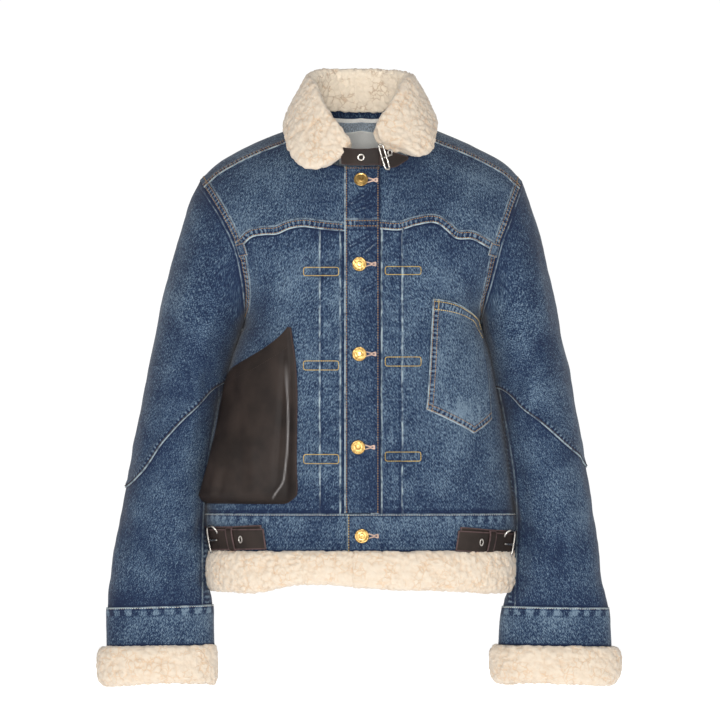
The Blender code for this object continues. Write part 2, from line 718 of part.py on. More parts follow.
def collar_section(side, turn):
    """The folded collar cut across: stand inside, roll on top, fall outside."""
    rule = {key: float(curve(COLLAR[side]["turn"], COLLAR[side][key])(turn))
            for key in ("roll_out", "roll_y", "roll_z", "edge_out", "edge_lean")}
    roll = np.array([SIGN[side] * rule["roll_out"], rule["roll_y"], rule["roll_z"]])
    edge_n = top_normal(side, rule["edge_out"], rule["edge_lean"])
    edge = top_point(side, rule["edge_out"], rule["edge_lean"]) + edge_n * 9.0
    foot = neck_point(side, turn)
    inward = unit(np.array([-foot[0], NECK_SHIFT - foot[1], 0.0]))
    foot = foot + np.array([0.0, 0.0, STAND_HEIGHT + 0.3]) + inward * 3.6
    foot[2] = min(foot[2], roll[2] - 8.0)
    fall = unit(edge - roll)
    face = unit(edge_n - fall * np.dot(edge_n, fall))
    face = unit(face - 0.35 * inward)
    return np.array([
        foot + inward * 4.5,
        (foot + roll) / 2 + inward * 5.0,
        roll + inward * 6.0 + np.array([0, 0, -3.5]),
        roll + inward * 2.0 + np.array([0, 0, 3.2]),
        roll + face * 3.5 + np.array([0, 0, 3.0]),
        roll + (edge - roll) * 0.22 + face * 6.5,
        roll + (edge - roll) * 0.6 + face * 7.5,
        edge + face * 5.5,
        edge + fall * 5.5,
        edge - edge_n * 6.0,
        edge + (roll - edge) * 0.5 - face * 2.0,
        foot - inward * 2.5,
    ])


def make_collar():
    """Folded sherpa collar from one front end round the neck to the other."""
    sections = []
    for side in ("right", "left"):
        first = COLLAR[side]["turn"][0]
        turns = np.linspace(first, 180.0, COLLAR_STEPS)
        part = [collar_section(side, turn) for turn in turns]
        sections += part if side == "right" else part[-2::-1]
    sweep("collar_sherpa", "sherpa", np.array(sections))


def strip_round_neck(name, kind, first, last, low, high, inward, wall, steps):
    """A band of even height that follows the neck seam on its inner side."""
    turns = np.linspace(first, last, steps)
    spots = []
    for turn in turns:
        side = "right" if turn < 0 else "left"
        spots.append(neck_point(side, 180.0 - abs(turn)))
    spots = np.array(spots)
    flat = unit(np.stack([-spots[:, 0], NECK_SHIFT - spots[:, 1], 0 * spots[:, 0]], axis=-1))
    up = np.array([0.0, 0.0, 1.0])
    near = spots + flat * inward
    far = spots + flat * (inward + wall)
    sections = np.stack([near + up * low, near + up * high, far + up * high, far + up * low], axis=1)
    sweep(name, kind, sections)


make_collar()
strip_round_neck("collar_stand", "denim", -148.0, 132.0, 1.6, STAND_HEIGHT - 1.2, 1.6, 2.0, 33)
strip_round_neck("neck_tape", "label", -62.0, 62.0, -2.0, 3.0, 4.7, 0.9, 17)


def make_label():
    """Blank label hanging inside the back neck, on the inside of the yoke."""
    half = 27.0
    out = np.linspace(-half, half, 5)
    lean = np.linspace(lean_at_neck("left", 10.0) + 2.5, 45.0, 5)[:, None]
    points = top_point("left", out, lean)
    normals = top_normal("left", out, lean)
    sheet("neck_label", "label", points, normals, 0.9, np.full(points.shape[:2], -DENIM - 0.9))


make_label()


# ---- pockets -------------------------------------------------------------

LAY = 0.9                # what lies on a panel clears it by this much
POCKET_WALL = 1.6
POCKET_LAY = 1.9         # pockets on the rounded side clear it by more


def make_chest_pocket():
    """Denim patch pocket on the left chest, pointed below, its top edge sloping outwards."""
    share = np.linspace(0, 1, 9)
    top = curve((0, 0.12, 0.6, 1.0), (-216, -205, -207, -234))(share)
    bottom = curve((0, 0.5, 1.0), (-339, -367, -352))(share)
    rise = np.linspace(0, 1, 10)[:, None]
    z = bottom + (top - bottom) * rise
    inner = 80.0 + 6.0 * rise
    first = turn_at("left", inner, z)
    turns = first + (82.0 - first) * share
    points = body_point("left", turns, z)
    normals = body_normal("left", turns, z)
    sheet("chest_pocket", "denim", points, normals, POCKET_WALL,
          np.full(z.shape, POCKET_LAY + POCKET_WALL))


# Leather pouch: how far it stands off the panel, by height, and its top edge.
POUCH = {
    "height": (-454, -440, -410, -360, -320, -285, -240),
    "stand": (26, 29, 25, 18, 13, 9, 4),
    "inner": (79, 77, 77.5, 77, 76.5, 78, 84),
    "outer_turn": (80, 80, 79, 78, 78, 76, 64),
}
POUCH_ACROSS = {
    "share": (0, 0.05, 0.2, 0.4, 0.6, 0.75, 0.88, 0.96, 1.0),
    "stand": (0.0, 0.12, 0.30, 0.52, 0.75, 0.92, 1.0, 0.62, 0.0),
}
POUCH_BOTTOM = -454.0
POUCH_EDGE_LAY = 0.6     # its stitched inner edge lies closer to the panel


def pouch_top(share):
    """Slanting mouth of the pouch, highest at its inner corner."""
    return -240.0 - 62.0 * np.clip((share - 0.06) / 0.94, 0, 1) ** 0.9


def make_leather_pocket():
    """Pouch that stands off the right front and rounds the side; open along its slanting top."""
    share = np.array(POUCH_ACROSS["share"])
    rise = np.array([0, 0.03, 0.08, 0.16, 0.27, 0.4, 0.55, 0.7, 0.85, 1.0])[:, None]
    top = pouch_top(share)
    z = POUCH_BOTTOM + (top - POUCH_BOTTOM) * rise
    inner = turn_at("right", curve(POUCH["height"], POUCH["inner"])(z), z)
    outer = curve(POUCH["height"], POUCH["outer_turn"])(z)
    turns = inner + (outer - inner) * share
    stand = curve(POUCH["height"], POUCH["stand"])(z) * np.array(POUCH_ACROSS["stand"])
    close = np.array([0.0, 0.62, 0.95] + [1.0] * 7)[:, None]
    lay = np.where(share == 0, POUCH_EDGE_LAY, POCKET_LAY)
    lift = lay + LEATHER + stand * close
    points = body_point("right", turns, z)
    normals = body_normal("right", turns, z)
    sheet("leather_pocket", "leather", points, normals, LEATHER, lift)


make_chest_pocket()
make_leather_pocket()


# ---- side tabs and chin strap --------------------------------------------

TAB_INNER = 115.0        # the tab's sewn end, from the middle of the front
TAB_TOP = -484.5
TAB_FOOT = -509.5
TAB_LAYER = 1.8


def band_patch(name, kind, side, turns, heights, lift, wall):
    """A flat piece that lies on the waistband between two turns and two heights."""
    z = np.array(heights, float)[:, None]
    turn = np.array(turns, float)[None, :] + 0 * z
    points = body_point(side, turn, z)
    normals = body_normal(side, turn, z)
    sheet(name, kind, points, normals, wall, np.full(turn.shape, lift + wall))


def ring_on(name, kind, centre, normal, half_wide, half_high, bar, thick):
    """An oval or square ring of round bar, facing along the normal."""
    across = unit(np.cross(normal, np.array([0.0, 0.0, 1.0])))
    up = np.cross(across, normal)
    spin = np.linspace(0, 2 * math.pi, 20, endpoint=False)
    power = 0.45
    wide = np.sign(np.cos(spin)) * np.abs(np.cos(spin)) ** power * half_wide
    high = np.sign(np.sin(spin)) * np.abs(np.sin(spin)) ** power * half_high
    spots = centre + wide[:, None] * across + high[:, None] * up
    outward = unit(spots - centre)
    turn = np.linspace(0, 2 * math.pi, 6, endpoint=False)
    sections = (spots[:, None, :] + outward[:, None, :] * (np.cos(turn) * bar)[None, :, None]
                + normal * (np.sin(turn) * thick)[None, :, None])
    sweep(name, kind, sections, closed=True)


def eyelet(name, centre, normal, half_wide, half_high):
    """A flat metal ring with an open middle."""
    across = unit(np.cross(normal, np.array([0.0, 0.0, 1.0])))
    up = np.cross(across, normal)
    spin = np.linspace(0, 2 * math.pi, 14, endpoint=False)
    ring = (np.cos(spin)[:, None] * across * half_wide + np.sin(spin)[:, None] * up * half_high)
    scale = np.array([1.0, 0.94, 0.62, 0.58])
    height = np.array([0.0, 0.8, 0.8, 0.0])
    sections = centre + ring[:, None, :] * scale[None, :, None] + normal * height[None, :, None]
    sweep(name, "silver", sections, closed=True)


def make_tab(side):
    """Leather adjuster on the waistband: two layers, keeper, eyelet, buckle and pin."""
    middle = (TAB_TOP + TAB_FOOT) / 2
    first = float(turn_at(side, TAB_INNER, middle))
    back_z = (TAB_FOOT + 1.0, middle, TAB_TOP + 3.0)
    front_z = (TAB_FOOT, middle, TAB_TOP)
    band_patch("tab_under_" + side, "leather", side,
               np.linspace(first + 3.0, 112.0, 12), back_z, LAY, TAB_LAYER)
    over = LAY + TAB_LAYER + 0.5
    band_patch("tab_" + side, "leather", side, np.linspace(first, 80.0, 9), front_z, over, TAB_LAYER)
    top = over + TAB_LAYER + 0.6
    keeper = float(turn_at(side, 150.0, middle))
    band_patch("tab_keeper_" + side, "leather", side, np.linspace(keeper, keeper + 4.0, 3),
               (TAB_FOOT - 1.5, middle, TAB_TOP + 1.5), top, 1.6)
    turn = float(turn_at(side, 137.0, middle))
    eyelet("tab_eyelet_" + side, body_point(side, turn, middle) + body_normal(side, turn, middle) * top,
           body_normal(side, turn, middle), 2.8, 4.6)
    turn = 86.0
    normal = body_normal(side, turn, middle)
    centre = body_point(side, turn, middle)
    ring_on("tab_buckle_" + side, "silver", centre + normal * (LAY + TAB_LAYER + 2.1), normal,
            8.0, 14.0, 1.5, 1.5)
    band_patch("tab_pin_" + side, "silver", side, np.linspace(75.5, 80.8, 4),
               (middle - 1.2, middle + 1.2), over + TAB_LAYER + 0.5, 1.6)


make_tab("right")
make_tab("left")

CHIN_BUCKLE_STAND = 3.8  # middle of the buckle's bar, from the strap's face
CHIN = {
    "out": (-24, -8, 8, 23, 38, 56),
    "ahead": (-111.3, -114, -114, -112, -106, -96),
    "top": (-21, -23, -23, -22, -27, -32),
    "foot": (-42, -43, -43, -43, -46, -36),
}


def chin_grid(low, high, steps):
    """Points and directions along the strap between two places."""
    out = np.linspace(low, high, steps)
    ahead = curve(CHIN["out"], CHIN["ahead"])(out)
    top = curve(CHIN["out"], CHIN["top"])(out)
    foot = curve(CHIN["out"], CHIN["foot"])(out)
    rise = np.linspace(0, 1, 3)[:, None]
    z = foot + (top - foot) * rise
    points = np.stack(np.broadcast_arrays(out[None, :], ahead[None, :], z), axis=-1)
    slope = np.gradient(ahead, out)
    normals = unit(np.stack([slope, -np.ones(steps), 0 * slope], axis=-1))
    return points, np.broadcast_to(normals, points.shape).copy()


def chin_spot(out):
    """Middle of the strap and the way it faces, at one place along it."""
    points, normals = chin_grid(out - 1.0, out + 1.0, 3)
    return points[1, 1], normals[1, 1]


def make_chin_strap():
    """Leather strap across the open neck, its buckle, pointed end and two eyelets."""
    points, normals = chin_grid(-24.0, 30.0, 8)
    sheet("chin_strap", "leather", points, normals, LEATHER)
    points, normals = chin_grid(22.0, 56.0, 7)
    sheet("chin_strap_end", "leather", points, normals, LEATHER, np.full(points.shape[:2], 2.6))
    front = np.array([0.0, -1.0, 0.0])
    eyelet("chin_eyelet_1", np.array([0.0, -114.7, -33.5]), front, 4.4, 4.4)
    spot, facing = chin_spot(38.0)
    eyelet("chin_eyelet_2", spot + facing * 3.0, facing, 2.6, 3.2)
    spot, facing = chin_spot(28.0)
    ring_on("chin_buckle", "silver", spot + facing * CHIN_BUCKLE_STAND, facing, 5.0, 14.5, 1.3, 1.3)


make_chin_strap()
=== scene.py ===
import math
import bpy
import numpy as np
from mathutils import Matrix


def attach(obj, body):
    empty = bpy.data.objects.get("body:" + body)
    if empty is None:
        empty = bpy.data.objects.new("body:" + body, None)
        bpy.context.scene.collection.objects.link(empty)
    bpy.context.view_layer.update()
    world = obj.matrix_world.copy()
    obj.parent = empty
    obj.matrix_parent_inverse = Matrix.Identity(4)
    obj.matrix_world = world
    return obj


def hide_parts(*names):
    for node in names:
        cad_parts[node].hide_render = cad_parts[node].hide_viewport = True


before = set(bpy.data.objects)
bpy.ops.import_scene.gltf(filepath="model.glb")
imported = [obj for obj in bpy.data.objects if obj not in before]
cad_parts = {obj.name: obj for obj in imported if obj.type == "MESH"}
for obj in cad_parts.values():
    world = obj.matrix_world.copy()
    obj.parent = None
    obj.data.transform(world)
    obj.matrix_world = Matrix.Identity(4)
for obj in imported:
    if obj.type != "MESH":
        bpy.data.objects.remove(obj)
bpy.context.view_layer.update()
mm = 0.001

# ---- the body's form, in millimetres: +X is the wearer's left, -Y the front --------

squareness, shoulderRound, clothWall = 0.77, 170.0, 1.2
waistSeam, backSeam, armpit, seamDrop = -466.0, -128.0, -231.0, 13.0
neckFront, neckHalf, neckShift, backNeck = -46.0, 74.0, -15.0, 50.0
body = {
    "height": (-570, -540, -511, -485, -454, -424, -366, -318, -277, -249, -231, -204, -170, -139, -62, 60),
    "right": (172, 174, 182, 188, 190, 188, 182, 170, 157.5, 147.5, 141, 148, 166, 188, 226, 245),
    "left": (171, 173, 183, 189.0, 187.2, 183.6, 175.4, 166.8, 158.4, 151, 145, 156, 174, 194, 226, 245),
    "front": (113, 113, 113, 113, 113.5, 115, 117.5, 119.3, 120.3, 120.8, 121, 121, 121, 121, 120, 120),
    "back": (112, 112, 112, 112, 113.5, 114.4, 115.7, 116.6, 117.3, 117.7, 118, 118, 118, 118, 116, 114),
}
shoulder = {
    "out": (0, 45, 74, 91, 124, 155, 176, 196, 215),
    "height": (30, 22, 8, 0, -13, -28, -41, -61, -84),
}
armhole = {
    "height": (-231, -204, -170, -139, -110, -85, -61),
    "right": (141, 139.5, 143, 151, 165, 180, 196),
    "left": (145, 150, 159, 167, 178, 187, 196),
}
sleeveForm = {
    "right": {
        "outerX": (196, 212, 228, 245, 259, 271, 284, 295, 304, 309, 309),
        "outerZ": (-61, -95, -149, -216, -285, -350, -415, -480, -534, -581, -628),
        "innerX": (141, 143, 147.5, 156, 165, 174.5, 182.5, 185.5, 186, 181, 180),
        "innerZ": (-231, -238, -249, -277, -318, -366, -424, -485, -536, -577, -626),
    },
    "left": {
        "outerX": (196, 210, 224, 239, 252, 264, 275, 285, 292, 301, 304),
        "outerZ": (-61, -100, -151, -221, -285, -350, -412, -476, -538, -581, -628),
        "innerX": (145, 148, 151.5, 158, 165, 171.5, 179.5, 185, 184, 173, 168.5),
        "innerZ": (-231, -239, -252, -284, -328, -376, -428, -490, -534, -579, -626),
    },
}
sleeveBoth = {
    "depth": (84, 80, 76, 72, 69, 65, 60, 54, 47, 42, 39),
    "ahead": (0, 0, 0, 0, -2, -5, -10, -16, -20, -24, -26),
}
cuffSeam = 9.0
sideSign = {"right": -1.0, "left": 1.0}


def hermite(t, step, a, b, slopeA, slopeB):
    # from a to b over a step, with given slopes at both ends
    return ((1 + 2 * t) * (1 - t) ** 2 * a + t * (1 - t) ** 2 * step * slopeA
            + t * t * (3 - 2 * t) * b + t * t * (t - 1) * step * slopeB)


def curve(places, values):
    # cubic pieces through a table's points, each slope taken from its neighbours
    xs = np.array(places, float)
    ys = np.array(values, float)
    slopes = np.gradient(ys, xs)

    def at(place):
        place = np.clip(np.asarray(place, float), xs[0], xs[-1])
        i = np.clip(np.searchsorted(xs, place) - 1, 0, len(xs) - 2)
        step = xs[i + 1] - xs[i]
        return hermite((place - xs[i]) / step, step, ys[i], ys[i + 1], slopes[i], slopes[i + 1])
    return at


def unit(vectors):
    return vectors / np.maximum(np.linalg.norm(vectors, axis=-1, keepdims=True), 1e-9)


def levelled(normals):
    # the same ways with no slant up or down
    return unit(normals * np.array([1.0, 1.0, 0.0]))


def raised(points, normals, lift):
    return points + normals * np.asarray(lift)[..., None]


def closedRing(values, axis=0):
    # with the first row or column once more at the end
    return np.concatenate([values, np.take(values, [0], axis=axis)], axis=axis)


def twoSpans(first, second):
    # even steps from 0 to 1, then even steps from 1 to 2
    return np.concatenate([np.linspace(0, 1, first), np.linspace(1, 2, second)[1:]])


def runAlong(line):
    # running length from the first place of a line
    return np.concatenate([[0], np.cumsum(np.linalg.norm(np.diff(line, axis=0), axis=-1))])


def ease(low, high, value):
    # 0 below low, 1 above high, an S curve between
    t = np.clip((np.asarray(value, float) - low) / (high - low), 0, 1)
    return t * t * (3 - 2 * t)


shoulderTop = curve(shoulder["out"], shoulder["height"])
depthFront = curve(body["height"], body["front"])
depthBack = curve(body["height"], body["back"])
halfWidth = {s: curve(body["height"], body[s]) for s in sideSign}
armholeOut = {s: curve(armhole["height"], armhole[s]) for s in sideSign}


def bodyPoint(side, turn, z):
    # turn 0 is the centre front, 90 the side, 180 the centre back
    turn = np.radians(turn)
    z = np.asarray(z, float)
    s = np.sin(turn)
    c = np.cos(turn)
    out = halfWidth[side](z) * np.sign(s) * np.abs(s) ** squareness
    drop = np.clip(1 - (shoulderTop(np.abs(out)) - z) / shoulderRound, 0, 1)
    deep = np.where(c > 0, depthFront(z), depthBack(z)) * np.sqrt(1 - drop ** 2)
    y = -deep * np.sign(c) * np.abs(c) ** squareness
    return np.stack(np.broadcast_arrays(sideSign[side] * out, y, z), axis=-1)


def bodyNormal(side, turn, z):
    z = np.asarray(z, float)
    across = bodyPoint(side, turn + 0.4, z) - bodyPoint(side, turn - 0.4, z)
    up = bodyPoint(side, turn, z + 0.5) - bodyPoint(side, turn, z - 0.5)
    return unit(np.cross(across, up)) * sideSign[side]


def bodyAt(side, turn, z):
    return bodyPoint(side, turn, z), bodyNormal(side, turn, z)


def turnAt(side, out, z):
    ratio = np.clip(np.asarray(out, float) / halfWidth[side](z), -1, 1)
    return np.degrees(np.arcsin(np.sign(ratio) * np.abs(ratio) ** (1 / squareness)))


def edgeTurn(side, z):
    hole = turnAt(side, armholeOut[side](z), z)
    return np.where(np.asarray(z) > armpit, hole, 90.0)


def columnTurn(side, z, first, u):
    # u from 0 to 1 runs from the first place to the neck's width, 1 to 2 on to the outer edge
    near = turnAt(side, first + (neckHalf - first) * np.clip(u, 0, 1), z)
    last = turnAt(side, neckHalf, z)
    return np.where(u <= 1, near, last + (edgeTurn(side, z) - last) * (np.asarray(u) - 1))


def neckline(out):
    out = np.abs(out)
    end = shoulderTop(neckHalf) - seamDrop
    roundPart = 1 - np.sqrt(np.clip(1 - (out / neckHalf) ** 2, 0, 1))
    low = neckFront + (end - neckFront) * roundPart
    return np.where(out < neckHalf, low, shoulderTop(out) - seamDrop)


def columnHeights(side, first, u, heightOf):
    # where each column crosses a line given as a height over the distance from the middle
    z = np.full(u.shape, -100.0)
    for _ in range(60):
        out = sideSign[side] * bodyPoint(side, columnTurn(side, z, first, u), z)[..., 0]
        z = z + 0.6 * (heightOf(out) - z)
    return z


def topHeight(out, lean):
    return shoulderTop(np.abs(out)) - shoulderRound * (1 - np.cos(np.radians(lean)))


def topPoint(side, out, lean):
    # the shoulders' surface: lean 0 is its top line, negative in front, positive behind
    z = topHeight(out, lean)
    turn = np.radians(turnAt(side, out, z))
    deep = np.where(np.asarray(lean) < 0, depthFront(z), depthBack(z))
    y = deep * np.abs(np.cos(turn)) ** squareness * np.sin(np.radians(lean))
    return np.stack(np.broadcast_arrays(sideSign[side] * out, y, z), axis=-1)


def topNormal(side, out, lean):
    across = topPoint(side, out + 0.4, lean) - topPoint(side, out - 0.4, lean)
    along = topPoint(side, out, lean + 0.3) - topPoint(side, out, lean - 0.3)
    return unit(np.cross(across, along)) * sideSign[side]


# ---- smooth random values and distances, for whole arrays of points ----------------

def hashed(cells, seed):
    # one random value from 0 to 1 for each whole-number cell
    mixed = (cells[..., 0] * 374761393 + cells[..., 1] * 668265263
             + cells[..., 2] * 2147483647 + seed * 1274126177).astype(np.int64)
    mixed = (mixed ^ (mixed >> 13)) * 1274126177 & 0x7FFFFFFF
    mixed = (mixed ^ (mixed >> 16)) * 2246822519 & 0x7FFFFFFF
    return ((mixed ^ (mixed >> 15)) & 0xFFFFF) / float(0x100000)


def softNoise(points, size, seed):
    # value noise from -1 to 1: eight random corners blended by S curves
    spot = points / size
    base = np.floor(spot).astype(np.int64)
    t = spot - base
    t = t * t * (3 - 2 * t)
    total = np.zeros(points.shape[:-1])
    for i in (0, 1):
        for j in (0, 1):
            for k in (0, 1):
                weight = (np.where(i, t[..., 0], 1 - t[..., 0]) * np.where(j, t[..., 1], 1 - t[..., 1])
                          * np.where(k, t[..., 2], 1 - t[..., 2]))
                total += weight * hashed(base + np.array([i, j, k]), seed)
    return total * 2 - 1


def ripples(points, seed, depth, size, fineDepth, fineSize):
    # broad and fine soft noise together
    return depth * softNoise(points, size, seed) + fineDepth * softNoise(points, fineSize, seed + 1)


def distanceTo(points, line):
    return nearestOn(points, line)[0]


def nearestOf(points, lines):
    return np.minimum.reduce([distanceTo(points, line) for line in lines])


def nearestOn(points, line):
    # distance from every point to a line of closely spaced places, and how far along it that is
    line = line[::max(1, len(line) // 240)]
    step = np.diff(line, axis=0)
    run = np.concatenate([[0], np.cumsum(np.linalg.norm(step, axis=-1))])
    way = unit(np.concatenate([step, step[-1:]]))
    best = np.full(points.shape[:-1], 1e9)
    place = np.zeros(points.shape[:-1])
    for i, spot in enumerate(line):
        gap = points - spot
        far = np.sum(gap ** 2, axis=-1)
        closer = far < best
        best = np.where(closer, far, best)
        place = np.where(closer, run[i] + np.sum(gap * way[i], axis=-1), place)
    return np.sqrt(best), place


# ---- shader values: plain arithmetic on them makes the maths nodes -------------------

class Flow:
    # a number, place or colour that flows out of a shader node
    def __init__(self, socket):
        self.socket, self.tree = socket, socket.id_data

    def __add__(self, other):
        return maths("ADD", self, other)

    def __sub__(self, other):
        return maths("SUBTRACT", self, other)

    def __rsub__(self, other):
        return maths("SUBTRACT", other, self)

    def __mul__(self, other):
        return maths("MULTIPLY", self, other)

    def __abs__(self):
        return maths("ABSOLUTE", self)

    __radd__, __rmul__ = __add__, __mul__


def feed(socket, value):
    # a socket takes a plain value, or what flows out of another node
    if isinstance(value, Flow):
        value.tree.links.new(value.socket, socket)
    else:
        socket.default_value = (*value, 1.0) if socket.type == "RGBA" else value


def newNode(tree, kind, values=(), **settings):
    made = tree.nodes.new("ShaderNode" + kind)
    for name, setting in settings.items():
        setattr(made, name, setting)
    for name, value in dict(values).items():
        feed(made.inputs[name], value)
    return made


def maths(operation, *values):
    tree = next(value.tree for value in values if isinstance(value, Flow))
    return Flow(newNode(tree, "Math", enumerate(values), operation=operation).outputs[0])


def spread(value, low, high, outLow=0.0, outHigh=1.0, smooth=True):
    values = {"Value": value, "From Min": low, "From Max": high, "To Min": outLow, "To Max": outHigh}
    kind = "SMOOTHSTEP" if smooth else "LINEAR"
    return Flow(newNode(value.tree, "MapRange", values, interpolation_type=kind).outputs["Result"])


def blend(share, a, b):
    made = newNode(share.tree, "Mix", data_type="RGBA", clamp_factor=True)
    for name, value in (("Factor", share), ("A", a), ("B", b)):
        feed(made.inputs[name], value)
    return Flow(made.outputs["Result"])


def noiseAt(place, scale, detail=2.0, rough=0.5):
    values = {"Vector": place, "Scale": scale, "Detail": detail, "Roughness": rough}
    return Flow(newNode(place.tree, "TexNoise", values).outputs["Fac"])


def cellsAt(place, scale, feature, **extra):
    # distances to the middles or the edges of uneven cells
    values = {"Vector": place, "Scale": scale, **extra}
    return Flow(newNode(place.tree, "TexVoronoi", values, feature=feature).outputs["Distance"])


def vectorMaths(operation, place, values):
    return Flow(newNode(place.tree, "VectorMath", {0: place, **values}, operation=operation).outputs[0])


def stretched(place, x, y, z=1.0):
    return vectorMaths("MULTIPLY", place, {1: (x, y, z)})


def stretchedLean(place, x, y, lean):
    # stretched noise places whose flecks lean to one side
    along, up = (Flow(newNode(place.tree, "SeparateXYZ", {0: place}).outputs[i]) for i in (0, 1))
    across = maths("MULTIPLY_ADD", up, lean, along)
    return Flow(newNode(place.tree, "CombineXYZ", {0: across * x, 1: up * y}).outputs[0])


def within(value, middle, half, soft):
    # 1 within half of a middle value, falling to 0 over the soft width
    return 1.0 - spread(abs(value - middle), half, half + soft)


def attribute(tree, name):
    return Flow(newNode(tree, "Attribute", attribute_name=name).outputs["Fac"])


def clothPlace(tree):
    return Flow(newNode(tree, "UVMap", uv_map="cloth").outputs["UV"])


def shades(color, deep, pale):
    # a deeper and a paler shade of one colour
    return [tuple(min(1.0, factor * part) for part in color) for factor in (deep, pale)]


def startMaterial(name):
    # a new material, its nodes, and the place on the object
    made = bpy.data.materials.new(name)
    made.use_nodes = True
    tree = made.node_tree
    return made, tree, Flow(newNode(tree, "TexCoord").outputs["Object"])


def finishMaterial(made, values, height=None, strength=1.0):
    # values for the shader's sockets by their names; the height bends the shading
    shader = made.node_tree.nodes["Principled BSDF"]
    for name, value in values.items():
        feed(shader.inputs[name], value)
    if height is not None:
        bump = newNode(made.node_tree, "Bump", {"Strength": strength, "Distance": 1.0, "Height": height})
        feed(shader.inputs["Normal"], Flow(bump.outputs["Normal"]))
    return made


# ---- cloth of denim: one shader group with values of its own for each use -----------

denimLook = {
    "dark": (0.0065, 0.0150, 0.046), "middle": (0.029, 0.060, 0.114), "light": (0.150, 0.210, 0.272),
    "abraded": (0.38, 0.46, 0.49), "reverse": (0.40, 0.46, 0.52), "roughness": 0.86,
    "bump": 0.9, "pucker": 5.6, "creases": (25.1, 50.1),
}
# what each vertex of the cloth carries, and its value where nothing is near; the wear value holds real wear
# and fading together with painted light and shade that follow the folds and ripples
clothKeys = {"edge": 99.0, "strip": 99.0, "under": 99.0, "run": 0.0, "width": 9.6, "rim": 0.0,
             "crease": 99.0, "wearAndShade": 0.0}


def makeDenimGroup():
    # short leaning flecks, soft clouds, puckered seams, worn edges and sharp pleat lines, with painted shade
    # in the seams' grooves, beside the pleats and where the cloth goes under another piece
    tree = bpy.data.node_groups.new("denimCloth", "ShaderNodeTree")
    def socket(name, way, kind):
        return tree.interface.new_socket(name=name, in_out=way, socket_type="NodeSocket" + kind)

    for name in ("Cloth", "Place"):
        socket(name, "INPUT", "Vector")
    for key, away in {**clothKeys, "tone": 0.0}.items():
        socket(key.capitalize(), "INPUT", "Float").default_value = away
    socket("Color", "OUTPUT", "Color")
    socket("Height", "OUTPUT", "Float")
    given = [Flow(socket) for socket in tree.nodes.new("NodeGroupInput").outputs if socket.name]
    cloth, place, edge, strip, under, run, width, rim, crease, wearAndShade, extra = given
    rightFleck = noiseAt(stretchedLean(cloth, 1080.0, 300.0, 0.5), 1.0, 1.0)
    leftFleck = noiseAt(stretchedLean(cloth, 1110.0, 320.0, -0.45), 1.0, 1.0)
    slub = noiseAt(stretched(cloth, 300.0, 45.0), 1.0)
    streak = noiseAt(stretchedLean(cloth, 620.0, 62.0, 0.6), 1.0, 1.0)
    cloud = noiseAt(place, 26.0, 3.0, 0.6)
    broad = noiseAt(place, 8.0)
    pucker = noiseAt(place, 120.0, 1.0, 0.4)
    crumple = noiseAt(place, 75.0)
    # puckers: a wave along the seam, uneven in step and strength, in the middle of the strip
    wave = maths("SINE", run * (2 * math.pi / denimLook["pucker"]) + noiseAt(place, 55.0, 1.0) * 9.0)
    wave = wave * spread(pucker, 0.30, 0.62, 0.25, 1.15) * spread(rim, 0.0, 1.0, 0.85, 1.0)
    core = 1.0 - spread(abs(strip - width * 0.5), 2.3, 4.0)
    beside = 1.0 - spread(strip, 9.0, 19.0)
    nearUnder = 1.0 - spread(under, 0.5, 11.0)
    # pale where it is worn: the edges, the strip's rim and the broken lines of the pleats
    worn = (1.0 - spread(edge, 0.6, 2.0)) * spread(rim, 0.0, 1.0, 0.72, 1.0)
    pale = maths("MAXIMUM", worn, within(strip - width, 0.9, 0.3, 1.2) * (rim * 0.42))
    broken = spread(noiseAt(stretched(place, 300.0, 300.0, 60.0), 1.0), 0.40, 0.56, 0.10, 1.0)
    # shade: a painted shadow in a band just outside each pleat line
    shade = 0.0
    for line in denimLook["creases"]:
        pale = maths("MAXIMUM", pale, within(crease, line, 0.40, 1.2) * broken * 0.85)
        shade = within(crease, line - 2.6, 0.9, 1.5) + shade
    # the tone is a sum of all that makes the blue paler or deeper, painted shade and shadow included
    tone = (rightFleck - 0.5) * 6.2
    for source, amount in ((leftFleck, 5.4), (slub, 1.2), (streak, 2.2), (cloud, 2.1), (broad, 1.7)):
        tone = tone + (source - 0.5) * amount
    blobs = (pucker - 0.5) * 2.4
    tone = tone + wave * (core * 1.7) + blobs * maths("MAXIMUM", beside * 0.5, nearUnder * 0.8)
    # painted shade: a dark line in the groove 3.3 mm inside each worn edge
    tone = tone + blobs * (within(crease, 37.6, 17.0, 8.0) * 0.75) - within(edge, 3.3, 0.4, 1.1) * 1.0
    # painted shadow: a dark line right where the cloth goes under another piece, and the pleats' painted
    # shadow
    tone = tone + wearAndShade * 0.5 + (extra - 0.10) - within(under, 0.0, 1.3, 1.8) * 1.3 - shade * 0.55
    # painted shadow fading out over 36 mm from where the cloth goes under another piece, as under the collar
    # and the yoke
    tone = tone - spread(under, 2.0, 36.0, 0.50, 0.0)
    dark = blend(spread(tone, -1.15, 0.1, smooth=False), denimLook["dark"], denimLook["middle"])
    color = blend(spread(tone, 0.0, 1.35, smooth=False), dark, denimLook["light"])
    color = blend(pale * spread(pucker, 0.32, 0.58, 0.25, 1.0), color, denimLook["abraded"])
    height = (rightFleck + leftFleck) * 0.11 + wave * (core * 0.30)
    height = height + pucker * (maths("MAXIMUM", beside, nearUnder) * 0.9) + crumple * 0.35
    output = tree.nodes.new("NodeGroupOutput")
    feed(output.inputs["Color"], color)
    feed(output.inputs["Height"], height * mm)
    return tree


denimGroup = makeDenimGroup()


